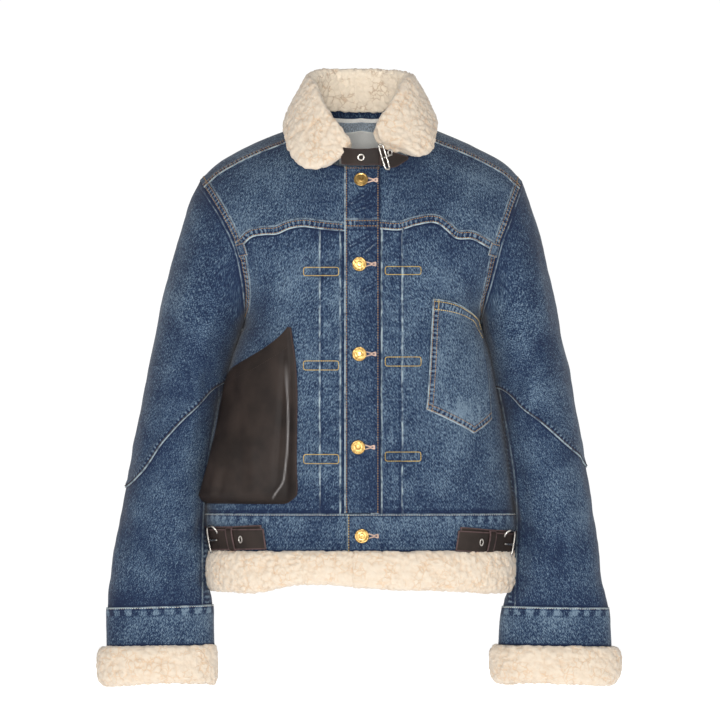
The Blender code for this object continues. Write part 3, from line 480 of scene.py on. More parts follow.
def makeDenim(name, tone=0.0):
    made, tree, place = startMaterial(name)
    values = {key.capitalize(): attribute(tree, key) for key in clothKeys}
    group = tree.nodes.new("ShaderNodeGroup")
    group.node_tree = denimGroup
    for key, value in {"Cloth": clothPlace(tree), "Place": place, "Tone": tone, **values}.items():
        feed(group.inputs[key], value)
    return finishMaterial(made, {
        "Base Color": Flow(group.outputs["Color"]), "Roughness": denimLook["roughness"],
        "Specular IOR Level": 0.2, "Sheen Weight": 0.12, "Sheen Roughness": 0.5,
    }, Flow(group.outputs["Height"]), denimLook["bump"])


def makeReverse():
    # the paler back of the cloth, with fine streaks along the warp
    made, tree, place = startMaterial("denimReverse")
    fine = noiseAt(stretched(clothPlace(tree), 900.0, 260.0), 1.0, 2.0, 0.6)
    share = spread(fine * 0.8 + noiseAt(place, 25.0) * 0.2, 0.3, 0.72)
    colors = shades(denimLook["reverse"], 0.45, 1.7)
    return finishMaterial(made, {"Base Color": blend(share, *colors), "Roughness": 0.9},
                          fine * (0.12 * mm), 0.8)


denim = makeDenim("denim")
denimCuff = makeDenim("denimPale", 0.25)
denimReverse = makeReverse()


# ---- closed walls made from one grid of points --------------------------------------

def gridQuads(at):
    return np.stack([at[:-1, :-1], at[:-1, 1:], at[1:, 1:], at[1:, :-1]], axis=-1).reshape(-1, 4)


def lengths(points, axis):
    # running length along an axis of a grid, in metres
    step = np.linalg.norm(np.diff(points, axis=axis), axis=-1)
    pad = [(0, 0), (0, 0)]
    pad[axis] = (1, 0)
    return np.cumsum(np.pad(step, pad), axis=axis)


def addObject(name, data, place=(0.0, 0.0, 0.0), turn=(0.0, 0.0, 0.0)):
    made = bpy.data.objects.new(name, data)
    bpy.context.scene.collection.objects.link(made)
    made.location, made.rotation_euler = place, turn
    return made


def meshFrom(name, points, quads, materials, values=(), uv=None, slotOf=None):
    # points in millimetres; uv for each corner in metres; values for each vertex
    mesh = bpy.data.meshes.new(name)
    mesh.vertices.add(len(points))
    mesh.vertices.foreach_set("co", (points * mm).astype(np.float32).ravel())
    mesh.loops.add(quads.size)
    mesh.loops.foreach_set("vertex_index", quads.astype(np.int32).ravel())
    mesh.polygons.add(len(quads))
    mesh.polygons.foreach_set("loop_start", np.arange(len(quads), dtype=np.int32) * 4)
    mesh.update(calc_edges=True)
    for item in materials:
        mesh.materials.append(item)
    if slotOf is not None:
        mesh.polygons.foreach_set("material_index", slotOf.astype(np.int32))
    if uv is not None:
        layer = mesh.uv_layers.new(name="cloth")
        layer.data.foreach_set("uv", uv.astype(np.float32).ravel())
    for key, value in dict(values).items():
        kind = mesh.attributes.new(key, "FLOAT", "POINT")
        kind.data.foreach_set("value", value.astype(np.float32).ravel())
    mesh.shade_smooth()
    return addObject(name, mesh)


def endCaps(at):
    # faces laid across the two open ends of a tube's grid
    caps = []
    for ring, way in ((at[0], 1), (at[-1], -1)):
        half = len(ring) // 2
        left, right = ring[:half], ring[::-1][:half]
        cap = np.stack([left[:-1], right[:-1], right[1:], left[1:]], axis=-1)
        if len(ring) % 2:
            cap = np.concatenate([cap, [[left[-1], right[-1], ring[half], ring[half]]]])
        caps.append(cap[:, ::way])
    return caps


def tubeQuads(shape, closed):
    # a tube's faces: closed joins its two ends, else each end is capped
    at = np.arange(shape[0] * shape[1]).reshape(shape)
    if closed:
        return gridQuads(closedRing(closedRing(at), 1))
    return np.concatenate([gridQuads(closedRing(at, 1)), *endCaps(at)])


def volumeOf(points, quads):
    a, b, c, d = (points[quads[:, i]] for i in range(4))
    return float(np.sum(a * np.cross(b, c)) + np.sum(a * np.cross(c, d)))


def shell(name, outer, normals, wall, values, materials, around=False):
    # outer grid, inner copy and rims; around joins the last column to the first
    rows, cols = outer.shape[:2]
    grids[name] = (outer, normals)
    inner = outer - normals * wall
    ring = closedRing(outer, 1) if around else outer
    along = lengths(ring, 1)
    middle = along[:, along.shape[1] // 2][:, None] if around else along.mean(axis=1, keepdims=True)
    uv = np.stack([(along - middle) * mm, lengths(ring, 0) * mm], axis=-1)
    half = rows * cols
    at = np.arange(half).reshape(rows, cols)
    if around:
        at = closedRing(at, 1)
    quads = gridQuads(at)
    corner = gridQuads(np.arange(uv.shape[0] * uv.shape[1]).reshape(uv.shape[:2]))
    flat = uv.reshape(-1, 2)
    under = quads[:, ::-1] + half
    sides = [(at[0], uv[0]), (at[-1][::-1], uv[-1][::-1])]
    if not around:
        sides += [(at[:, -1], uv[:, -1]), (at[::-1, 0], uv[::-1, 0])]
    rims, rimUv = [], []
    for line, spot in sides:
        rims.append(np.stack([line[1:], line[:-1], line[:-1] + half, line[1:] + half], axis=-1))
        rimUv.append(np.stack([spot[1:], spot[:-1], spot[:-1], spot[1:]], axis=1))
    every = np.concatenate([quads, under, *rims])
    everyUv = np.concatenate([flat[corner], flat[corner[:, ::-1]], *rimUv])
    slotOf = np.zeros(len(every))
    slotOf[len(quads):2 * len(quads)] = 1
    points = np.concatenate([outer.reshape(-1, 3), inner.reshape(-1, 3)])
    if volumeOf(points, every) < 0:
        every = every[:, ::-1]
        everyUv = everyUv[:, ::-1]
    both = {key: np.concatenate([v.ravel(), v.ravel()]) for key, v in values.items()}
    return meshFrom(name, points, every, materials, both, everyUv, slotOf)


def clothValues(points, edges=(), strips=(), unders=(), wearAndShade=None, widths=(), rim=0.0):
    # distances in millimetres to the lines where the cloth is worn, felled or tucked under
    found = {key: np.full(points.shape[:2], away) for key, away in {**clothKeys, "rim": rim}.items()}
    for key, lines in (("edge", edges), ("under", unders)):
        if lines:
            found[key] = np.minimum(nearestOf(points, lines), 99.0)
    for i, line in enumerate(strips):
        gap, run = nearestOn(points, line)
        nearer = gap < found["strip"]
        found["strip"] = np.where(nearer, gap, found["strip"])
        found["run"] = np.where(nearer, run, found["run"])
        if i < len(widths):
            found["width"] = np.where(nearer, widths[i], found["width"])
    if wearAndShade is not None:
        found["wearAndShade"] = wearAndShade
    return found


grids = {}


def keep(piece, slotName, nodes):
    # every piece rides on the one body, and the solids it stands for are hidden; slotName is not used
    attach(piece, "root")
    if nodes:
        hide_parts(*nodes)
    return piece


def declareSheet(piece, points, around=False):
    # the flat cut: its width and length are the longest row and column, its area the cloth's own
    ring = closedRing(points, 1) if around else points
    width = float(lengths(ring, 1)[:, -1].max()) * mm
    length = max(float(lengths(ring, 0)[-1].max()) * mm, 0.0105)
    across, up = np.diff(ring, axis=1)[:-1], np.diff(ring, axis=0)[:, :-1]
    area = float(np.sum(np.linalg.norm(np.cross(across, up), axis=-1))) * mm * mm
    area = min(area, width * length)
    print("cut", piece.name, round(width, 3), round(length, 3), round(area, 4))


def layCloth(name, points, normals, values, nodes, around=False, wall=clothWall,
             sides=(denim, denimReverse), slotName="denim"):
    # a wall of cloth or leather kept on the body, with its flat cut
    piece = keep(shell(name, points, normals, wall, values, sides, around), slotName, nodes)
    declareSheet(piece, points, around)


# ---- body panels ---------------------------------------------------------------------

panelPitch, nearPitch, panelLap, panelLie, panelCrumple = 3.4, 1.9, 1.5, 0.35, 0.45
seamWidth, armSeamWidth = 9.6, 8.0
pleatPlaces, pleatRise, pleatFall = (27.0, 52.0), 2.4, 9.0
firstOut = {"right": -12.0, "left": 22.0}

# lower edge of each front yoke: distance from the middle, height
yokeEdgeTable = {
    "right": ((0, 23, 50, 72, 86.6, 101, 119.6, 134, 143, 155, 175),
              (-123, -123.2, -120.8, -118.3, -120.8, -126.9, -128.1, -131.8, -140.3, -146, -154)),
    "left": ((0, 23, 47.6, 68.3, 95.2, 103, 112.2, 135.4, 155, 169.6, 185),
             (-120.8, -121, -122, -115.9, -115.9, -122, -130.5, -133.6, -144, -151.9, -157)),
}
yokeEdge = {s: curve(*yokeEdgeTable[s]) for s in sideSign}

# soft bends of the cloth: start and end (distance from the middle, height), width, depth
frontFolds = {
    "right": (
        (138, -236, 96, -300, 11, -1.6), (132, -262, 84, -352, 13, 1.2), (150, -330, 118, -262, 10, 1.2),
        (66, -420, 84, -462, 7, -1.3), (98, -436, 108, -466, 6, 1.1), (60, -176, 108, -196, 12, 1.0),
        (40, -150, 44, -196, 5, -0.7), (39, -300, 37, -372, 5, -0.8), (66, -250, 72, -330, 9, 0.9),
        (124, -440, 132, -466, 6, -1.1), (38, -420, 41, -462, 4.5, -0.8), (112, -160, 124, -226, 9, -1.0)),
    "left": (
        (146, -238, 112, -292, 11, -1.5), (138, -330, 100, -420, 12, 1.2), (152, -380, 120, -440, 10, -1.3),
        (66, -400, 76, -458, 7, -1.1), (96, -430, 100, -466, 6, 1.1), (62, -170, 112, -180, 12, 0.9),
        (40, -156, 38, -206, 5, -0.7), (37, -290, 41, -350, 5, -0.8), (70, -270, 64, -350, 9, 0.9),
        (130, -436, 140, -466, 7, 1.0), (150, -290, 157, -350, 9, 1.1), (120, -160, 140, -216, 9, -1.1)),
}
backFolds = (
    (-120, -200, -70, -330, 16, 1.6), (-60, -180, -34, -300, 14, -1.4), (10, -170, 20, -300, 15, 1.3),
    (66, -190, 44, -320, 13, -1.5), (124, -210, 84, -350, 16, 1.7), (-96, -380, -88, -464, 9, -1.6),
    (-40, -390, -46, -464, 8, 1.3), (18, -396, 14, -464, 8, -1.2), (72, -386, 80, -464, 9, 1.4),
    (128, -360, 120, -464, 10, -1.5), (-136, -350, -128, -464, 10, 1.3), (-20, -330, 40, -352, 14, 1.2),
)


def foldField(table, a, b):
    # each fold is a soft ridge or trough round a line, dying out at its two ends
    total = np.zeros(np.broadcast(a, b).shape)
    for a0, b0, a1, b1, width, depth in table:
        da, db = a1 - a0, b1 - b0
        t = ((a - a0) * da + (b - b0) * db) / (da * da + db * db)
        along = np.clip(t, 0, 1)
        gap = np.hypot(a - a0 - along * da, b - b0 - along * db)
        ends = ease(-0.12, 0.25, t) * (1 - ease(0.75, 1.12, t))
        total += depth * np.exp(-(gap / width) ** 2) * ends
    return total


def pleatRelief(side, x, z):
    # the fold stands up on its inner side and falls away outwards
    out = x * sideSign[side]
    lift = np.zeros(np.broadcast(x, z).shape)
    for place in pleatPlaces:
        rise = ease(place - 3.2, place - 1.6, out)
        fall = np.clip(1 - (out - place + 1.6) / pleatFall, 0, 1) ** 1.3
        lift = np.maximum(lift, pleatRise * rise * fall)
    return lift * ease(waistSeam, waistSeam + 14, z)


def frontRelief(side, points):
    x, z = points[..., 0], points[..., 2]
    low = ease(waistSeam - 2, waistSeam + 16, z)
    lift = foldField(frontFolds[side], x * sideSign[side], z)
    lift = lift + panelCrumple * softNoise(points, 17.0, 5) + 0.3 * softNoise(points, 8.0, 6)
    return pleatRelief(side, x, z) + lift * low


def backRelief(points):
    lift = foldField(backFolds, points[..., 0], points[..., 2])
    return lift + ripples(points, 7, 1.3 * panelCrumple, 19.0, 0.3, 8.0)


def spreadColumns(first):
    return twoSpans(int((neckHalf - first) / nearPitch) + 1, 54)


def frontSurface(side, low, high, rows, u, relief=True):
    # heights spread between two lines, each column on its own turn
    share = np.linspace(0, 1, rows)[:, None]
    z = low[None, :] + (high - low)[None, :] * share
    turn = columnTurn(side, z, firstOut[side], u[None, :])
    points, normals = bodyAt(side, turn, z)
    if relief:
        points = raised(points, normals, frontRelief(side, points))
    return points, normals


def rimsOf(points):
    # the four outer lines of a grid
    return [points[0], points[-1], points[:, 0], points[:, -1]]


def armStrip(points, lines):
    # the felled strip along the armhole stands a little proud
    gap = np.minimum(nearestOf(points, lines), 99.0)
    return 0.9 * (1 - ease(armSeamWidth - 1.2, armSeamWidth + 1.2, gap))


def sidePoints(side, low, high, count=60):
    z = np.linspace(low, high, count)
    return bodyPoint(side, edgeTurn(side, z), z)


def makeFrontSide(side):
    u = spreadColumns(firstOut[side])
    edge = columnHeights(side, firstOut[side], u, yokeEdge[side])
    waist = np.full(u.shape, waistSeam - 3.0)
    rows = int((edge.mean() + 10 - waist[0]) / panelPitch)
    points, normals = frontSurface(side, waist, edge + 10.0, rows, u)
    hole = sidePoints(side, armpit, -110.0)
    points = raised(points, normals, armStrip(points, [hole]))
    yokeLine = frontSurface(side, edge, edge + 1, 2, u)[0][0]
    waistLine = frontSurface(side, waist + 5.2, waist + 6.2, 2, u)[0][0]
    pleat = pleatRelief(side, points[..., 0], points[..., 2])
    crease = np.abs(points[..., 0] * sideSign[side])
    # under: a band just outside each pleat, deepened in the tone as painted shadow; the soft folds make the
    # tone paler on their ridges, partly wear and partly painted light, and deeper in their troughs as
    # painted shade
    ridge, under = (np.maximum.reduce([np.exp(-((crease - place + shift) / width) ** 2)
                                       for place in pleatPlaces])
                    for shift, width in ((1.9, 1.3), (4.2, 1.6)))
    fold = foldField(frontFolds[side], points[..., 0] * sideSign[side], points[..., 2])
    pleatWear = ridge * (0.55 + 0.75 * softNoise(points, 9.0, 21)) * (pleat > 0.2)
    wearAndShade = 0.5 * fold + 0.8 * pleatWear - 0.5 * under * (crease < 60) + 0.35 * (crease < 62) * (
        softNoise(points, 14.0, 22))
    values = clothValues(points, strips=[hole], unders=[yokeLine, waistLine], wearAndShade=wearAndShade,
                         widths=[armSeamWidth], rim=1.0)
    values["crease"] = np.where(crease < 66, crease, 99.0)
    layCloth("frontPanel" + side.capitalize(), points, normals, values, ["front_" + side])

    top = columnHeights(side, firstOut[side], u, neckline)
    rows = int((top - edge).mean() / 2.6)
    points, normals = frontSurface(side, edge, top - 0.2, rows, u, relief=False)
    seam = points[0].copy()
    neck = points[-1].copy()
    hole = sidePoints(side, -160.0, -70.0)
    toSeam = distanceTo(points, seam)
    rise = armStrip(points, [hole])
    soft = ripples(points, 9, 0.7, 30.0, 0.35, 12.0)
    lift = panelLie + panelLap * (1 - ease(9.0, 13.0, toSeam))
    points = raised(points, normals, lift + np.maximum(rise - 0.4, 0) + soft * ease(8, 20, toSeam))
    corner = int(np.searchsorted(u, 1.0))
    # the tone follows the ripples: paler on their crests as painted light, deeper in their hollows as
    # painted shade
    values = clothValues(points, edges=[points[0]], strips=[points[0], hole],
                         unders=[neck[corner:], neck[:corner + 1]], wearAndShade=0.15 + 0.5 * soft,
                         widths=[seamWidth, armSeamWidth], rim=1.0)
    layCloth("frontYoke" + side.capitalize(), points, normals, values, ["yoke_front_" + side])


def yokeOut(side, u, lean):
    u, lean = np.broadcast_arrays(np.asarray(u, float), np.asarray(lean, float))
    out = np.full(u.shape, 150.0)
    for _ in range(50):
        z = topHeight(out, lean)
        near = turnAt(side, neckHalf, z)
        far = turnAt(side, armholeOut[side](z), z)
        turn = np.radians(near + (far - near) * (u - 1))
        out = out + 0.6 * (halfWidth[side](z) * np.abs(np.sin(turn)) ** squareness - out)
    return np.where(u <= 1, neckHalf * u, out)


def leanAtNeck(out):
    reach = backNeck - neckShift
    y = neckShift + reach * np.sqrt(np.clip(1 - (out / neckHalf) ** 2, 0, 1))
    return np.degrees(np.arcsin(y / depthBack(0.0)))


def leanAtHeight(side, u, z):
    lean = np.full(np.shape(u), 60.0)
    for _ in range(25):
        out = yokeOut(side, u, lean)
        lean = np.degrees(np.arccos(1 - (shoulderTop(out) - z) / shoulderRound))
    return lean


shoulderAngle = math.degrees(math.acos(1 - seamDrop / shoulderRound))


def backYokeHalf(side, u):
    inner = np.where(u < 0.995, leanAtNeck(neckHalf * np.minimum(u, 1)), -shoulderAngle - 2.2)
    outer = leanAtHeight(side, u, backSeam - 9.0)
    lean = inner + (outer - inner) * np.linspace(0, 1, 50)[:, None]
    out = yokeOut(side, u[None, :], lean)
    return topPoint(side, out, lean), topNormal(side, out, lean)


def backPanelHalf(side, u):
    low, high = waistSeam - 3.0, backSeam
    z = np.linspace(low, high, 84)[:, None]
    return bodyAt(side, 180.0 - columnTurn(side, z, 0.0, u[None, :]), z)


def bothHalves(half, u):
    # the right half's columns from the outside in, then the left half's
    pairs = zip(half("right", u), half("left", u))
    return [np.concatenate([right[:, :0:-1], left], axis=1) for right, left in pairs]


def backHole(side):
    z = np.linspace(armpit, backSeam, 40)
    return bodyPoint(side, 180.0 - edgeTurn(side, z), z)


def overHole(side):
    # the armhole's line over the shoulder, from the front seam to the back seam
    last = float(leanAtHeight(side, np.array([2.0]), backSeam)[0])
    lean = np.linspace(-shoulderAngle, last, 50)
    return topPoint(side, yokeOut(side, 2.0, lean), lean)


def makeBackSide():
    points, normals = bothHalves(backPanelHalf, twoSpans(19, 40))
    relief = backRelief(points)
    ends = ease(-468, -450, points[..., 2]) * (1 - ease(-145, -130, points[..., 2]))
    points = raised(points, normals, relief * ends)
    holes = [backHole("right"), backHole("left")]
    points = raised(points, normals, armStrip(points, holes))
    # the tone follows the folds: paler on ridges as painted light, deeper in troughs as painted shade
    values = clothValues(points, strips=holes, unders=[points[0], points[-3]], wearAndShade=0.3 * relief)
    layCloth("backPanel", points, normals, values, ["back_panel"])

    neckColumns = 21
    points, normals = bothHalves(backYokeHalf, twoSpans(neckColumns + 1, 36))
    holes = [overHole("right"), overHole("left")]
    half = points.shape[1] // 2
    shoulders = (slice(None, half - neckColumns + 1), slice(half + neckColumns, None))
    toLow = distanceTo(points, points[-1])
    toFront = nearestOf(points, [points[0, part] for part in shoulders])
    rise = armStrip(points, holes)
    soft = ripples(points, 11, 0.8, 34.0, 0.35, 12.0)
    lift = panelLie + panelLap * np.maximum(
        1 - ease(9.0, 13.0, toLow), 0.75 * (1 - ease(8.0, 11.0, toFront)))
    soften = ease(8, 20, toLow) * ease(4, 16, toFront)
    points = raised(points, normals, lift + np.maximum(rise - 0.4, 0) + soft * soften)
    edges = [points[-1]] + [points[0, part] for part in shoulders]
    neck = points[0, half - neckColumns:half + neckColumns + 1]
    # the tone follows the ripples: paler on their crests as painted light, deeper in their hollows as
    # painted shade
    values = clothValues(points, edges=edges, strips=edges + holes, unders=[neck], wearAndShade=0.3 + 0.5 * soft)
    layCloth("backYoke", points, normals, values, ["back_yoke"])


for side in sideSign:
    makeFrontSide(side)
makeBackSide()
print("body panels made")

# ---- sleeves and cuffs ---------------------------------------------------------------

sleeveColumns, sleeveLap, sleeveLie, sleeveCrumple, sleeveSoft = 150, 1.3, 0.2, 0.6, 1.1

# the elbow seam, seen from the front: distance from the middle and height
elbowTable = {
    "right": ((162, -304), (184, -321), (205, -342), (229, -367), (246, -385.5), (252.5, -397.7),
              (261, -413), (274, -426), (289, -435.5)),
    "left": ((168.4, -312.3), (196.4, -339), (227.5, -363.0), (249, -383.5), (267, -398.5), (274.5, -408.7),
             (284, -416)),
}
# bends of the sleeve: row, swing of the row with the angle, phase, width in rows, depth
sleeveBends = ((6.6, 0.9, 0.0, 0.35, -3.4), (4.0, -0.7, 0.8, 0.4, -2.8), (7.5, 0.6, 0.0, 0.4, 2.5),
               (8.35, -0.35, 0.4, 0.22, -1.5), (2.6, 0.5, 1.2, 0.35, 1.2), (5.4, 0.5, 2.2, 0.3, -1.3))
# long soft ridges down the sleeve: angle, row start, row end, width in radians, depth
sleeveRidges = ((1.95, 2.2, 6.0, 0.16, 1.6), (1.2, 0.6, 3.4, 0.2, 1.2), (2.45, 5.6, 9.0, 0.2, -1.6),
                (0.75, 5.2, 8.8, 0.2, 1.2), (-1.1, 1.0, 4.6, 0.2, 1.5), (-2.0, 4.4, 8.6, 0.18, -1.6),
                (1.55, 6.4, 8.9, 0.14, -1.2), (-0.5, 5.4, 8.8, 0.2, 1.3))
sleeveRule = {s: {key: curve(range(11), row) for key, row in {**sleeveForm[s], **sleeveBoth}.items()}
              for s in sideSign}


def sleeveOval(side, row, angle):
    # angle 0 is the outer line, 180 degrees the inner, the front between them
    rule = sleeveRule[side]
    share = (1 + np.cos(angle)) / 2
    x = rule["innerX"](row) + (rule["outerX"](row) - rule["innerX"](row)) * share
    z = rule["innerZ"](row) + (rule["outerZ"](row) - rule["innerZ"](row)) * share
    y = rule["ahead"](row) - rule["depth"](row) * np.sin(angle)
    return np.stack(np.broadcast_arrays(sideSign[side] * x, y, z), axis=-1)


def armholeLoop(side):
    front = sidePoints(side, armpit, neckEnd(side), 70)
    back = backHole(side)[::-1]
    return np.concatenate([front[:-1], overHole(side)[:-1], back[:-1]])


def neckEnd(side):
    # height where the front's armhole edge meets the shoulder seam
    z = -80.0
    for _ in range(60):
        out = float(armholeOut[side](z))
        z = z + 0.6 * (float(shoulderTop(out)) - seamDrop - z)
    return z


def makeHoleGap(side):
    # how far the armhole's line stands from the first oval, for any angle
    loop = armholeLoop(side)
    rule = sleeveRule[side]
    outer = np.array([rule["outerX"](0.0), rule["outerZ"](0.0)])
    inner = np.array([rule["innerX"](0.0), rule["innerZ"](0.0)])
    flat = np.stack([sideSign[side] * loop[:, 0], loop[:, 2]], axis=-1)
    half = np.linalg.norm(outer - inner) / 2
    along = (flat - (outer + inner) / 2) @ (outer - inner) / (2 * half * half)
    angle = np.arctan2(-loop[:, 1] / float(rule["depth"](0.0)), along)
    gap = loop - sleeveOval(side, np.zeros(len(loop)), angle)
    order = np.argsort(angle)
    angle, gap = angle[order], gap[order]

    def at(places):
        return np.stack([np.interp(places, angle, gap[:, i], period=2 * math.pi) for i in range(3)], axis=-1)
    return at


holeGap = {s: makeHoleGap(s) for s in sideSign}


def sleevePlace(side, row, angle):
    fadeOut = (1 - ease(0.0, 3.0, row))[..., None]
    wrapped = np.mod(angle + math.pi, 2 * math.pi) - math.pi
    return sleeveOval(side, row, angle) + fadeOut * holeGap[side](wrapped)


def sleeveSurface(side, row, angle, relief=True):
    row, angle = np.broadcast_arrays(np.asarray(row, float), np.asarray(angle, float))
    around = sleevePlace(side, row, angle + 0.02) - sleevePlace(side, row, angle - 0.02)
    down = sleevePlace(side, np.minimum(row + 0.05, 10), angle) - sleevePlace(
        side, np.maximum(row - 0.05, 0), angle)
    normals = unit(np.cross(around, down)) * sideSign[side]
    points = sleevePlace(side, row, angle)
    middle = sleeveOval(side, row, 0 * angle) * 0.5 + sleeveOval(side, row, 0 * angle + math.pi) * 0.5
    if np.sum((points - middle) * normals) < 0:
        normals = -normals
    lift = sleeveRelief(side, row, angle, points) if relief else 0.0
    return raised(points, normals, lift), normals


def sleeveRelief(side, row, angle, points):
    turned = angle if side == "right" else angle + 0.25
    fold = np.zeros(row.shape)
    for place, swing, phase, width, depth in sleeveBends:
        fold += depth * np.exp(-((row - place - swing * np.sin(turned + phase)) / width) ** 2)
    for place, low, high, width, depth in sleeveRidges:
        gap = np.mod(turned - place - 0.07 * (row - 5) + math.pi, 2 * math.pi) - math.pi
        ends = ease(low - 0.5, low + 0.8, row) * (1 - ease(high - 0.9, high + 0.3, row))
        fold += depth * np.exp(-(gap / width) ** 2) * ends
    # the folds stay shallow along the outer line
    outer = np.exp(-((np.mod(angle + math.pi, 2 * math.pi) - math.pi) / 0.7) ** 2)
    fold = fold * ease(0.0, 3.0, row) * (1 - ease(8.6, 9.1, row)) * (1 - 0.65 * outer)
    fold += sleeveSoft * softNoise(points, 42.0, 31) * ease(0.3, 1.5, row)
    fold += sleeveCrumple * softNoise(points, 16.0, 32) * ease(0.1, 0.5, row)
    return fold + 0.3 * softNoise(points, 8.0, 33) * ease(0.1, 0.5, row)


def sleeveAt(side, out, z):
    # row and angle on the sleeve's front that lie at a distance from the middle and a height
    rows = np.linspace(0, 10, 401)[:, None]
    share = np.linspace(0, 1, 161)[None, :]
    spots = sleevePlace(side, rows + 0 * share, np.arccos(2 * share - 1) + 0 * rows)
    gap = (sideSign[side] * spots[..., 0] - out) ** 2 + (spots[..., 2] - z) ** 2
    i, j = np.unravel_index(np.argmin(gap), gap.shape)
    return float(rows[i, 0]), float(share[0, j])


def makeElbow(side):
    # the elbow seam's row over the share from the inner to the outer line
    found = np.array([sleeveAt(side, *spot) for spot in elbowTable[side]])
    order = np.argsort(found[:, 1])
    share, row = found[order, 1], found[order, 0]
    fine = np.linspace(0, 1, 61)
    line = np.interp(fine, share, row)
    line = np.convolve(np.pad(line, 3, mode="edge"), np.ones(7) / 7, mode="valid")
    return curve(fine, line)


elbowRow = {s: makeElbow(s) for s in sideSign}


def elbowAt(side, angle):
    return elbowRow[side]((1 + np.cos(angle)) / 2)


# the inner sleeve seam, seen from the front: height and distance from the middle
innerSeam = {"right": curve((-580, -460, -410, -359, -328), (193, 191.5, 187, 179, 173)),
             "left": curve((-580, -429, -365, -310), (187.4, 187.6, 178, 167))}


def makeSleeveSide(side):
    angle = np.linspace(-math.pi, math.pi, sleeveColumns, endpoint=False)
    elbow = elbowAt(side, angle)
    name = side.capitalize()

    row = elbow[None, :] * np.linspace(0, 1, 84)[:, None]
    points, normals = sleeveSurface(side, row, angle[None, :])
    toSeam = distanceTo(points, closedRing(points[-1]))
    bend = sleeveRelief(side, row, angle[None, :] + 0 * row, points)
    lift = sleeveLie + sleeveLap * (1 - ease(7.0, 11.0, toSeam))
    points = raised(points, normals, lift)
    hole = closedRing(points[0])
    # the tone follows the sleeve's bends: paler on ridges as painted light, deeper in troughs as painted
    # shade, and darker overall
    values = clothValues(points, unders=[hole], wearAndShade=0.25 * bend - 0.45)
    values["strip"] = toSeam + 1.5
    values["run"] = nearestOn(points, closedRing(points[-1]))[1]
    values["edge"] = np.minimum(0.95 * toSeam, np.abs(distanceTo(points, hole) - 4.6) + 0.9)
    layCloth("sleeveUpper" + name, points, normals, values, ["sleeve_upper_" + side], around=True)

    start = elbow - 0.16
    row = start[None, :] + (cuffSeam + 0.06 - start)[None, :] * np.linspace(0, 1, 78)[:, None]
    points, normals = sleeveSurface(side, row, angle[None, :])
    seam, _ = sleeveSurface(side, elbow, angle)
    cuff, _ = sleeveSurface(side, cuffSeam, angle)
    bend = sleeveRelief(side, row, angle[None, :] + 0 * row, points)
    # the inner seam: felled cloth from its line in towards the body
    felled = innerSeam[side](points[..., 2]) - sideSign[side] * points[..., 0]
    ahead = normals[..., 1] < 0
    # the tone follows the sleeve's bends: paler on ridges as painted light, deeper in troughs as painted
    # shade, and darker overall
    values = clothValues(points, unders=[seam, cuff], wearAndShade=0.25 * bend - 0.45)
    values["strip"] = np.where(ahead & (felled > -0.8), np.abs(felled), 99.0)
    values["edge"] = np.where(ahead, np.abs(felled) + 0.8, 99.0)
    values["run"] = points[..., 2]
    layCloth("sleeveLower" + name, points, normals, values,
             ["sleeve_lower_front_" + side, "sleeve_lower_back_" + side], around=True)

    row = cuffSeam + (10 - cuffSeam) * np.linspace(0, 1, 30)[:, None]
    points, normals = sleeveSurface(side, row, angle[None, :], relief=False)
    soft = ripples(points, 41, 0.8, 30.0, 0.3, 9.0)
    ring = closedRing(points[0])
    points = raised(points, normals, 1.5 + soft * ease(2, 12, distanceTo(points, ring)))
    # the tone follows the ripples: paler on their crests as painted light, deeper in their hollows as
    # painted shade
    values = clothValues(points, edges=[points[0]], strips=[points[0]], unders=[points[-1]],
                         wearAndShade=0.3 + 0.5 * soft)
    # pale blobs in a row along the cuff's upper seam, on a deeper strip
    gap, run = nearestOn(points, ring)
    start = ease(1.0, 2.4, gap)
    blob = ease(-0.45, 0.25, np.sin(run * 0.36 + 1.4 * softNoise(points, 24.0, 43)))
    blob = blob * start * (1 - ease(9.5, 11.5, gap)) * (4.4 + 1.4 * softNoise(points, 15.0, 44))
    values["wearAndShade"] = values["wearAndShade"] + blob - 2.4 * start * (1 - ease(10.0, 13.0, gap))
    values["strip"] = 99.0 + 0 * gap
    layCloth("cuff" + name, points, normals, values, ["cuff_" + side], around=True,
             sides=(denimCuff, denimReverse))


for side in sideSign:
    makeSleeveSide(side)
print("sleeves made")

# ---- waistband, placket and collar stand ---------------------------------------------

bandTop, bandBottom, bandProud, bandFirst = -466.0, -512.0, 1.1, {"right": -8.0, "left": -17.0}
placketFree, placketSewn, placketLift, placketSeam = -20.0, 23.0, 2.9, -119.0


bandRows = np.linspace(bandBottom, bandTop, 16)[:, None]


def bandSurface(side, u, first, behind=False):
    turn = columnTurn(side, bandRows, first, u[None, :])
    return bodyAt(side, 180.0 - turn if behind else turn, bandRows)


def lapOver(out):
    # the waistband's lapped end stands over the other end
    return 2.5 * np.clip((27.0 - out) / 14.0, 0, 1)


def bandBack(side, u):
    return bandSurface(side, u, 0.0, behind=True)


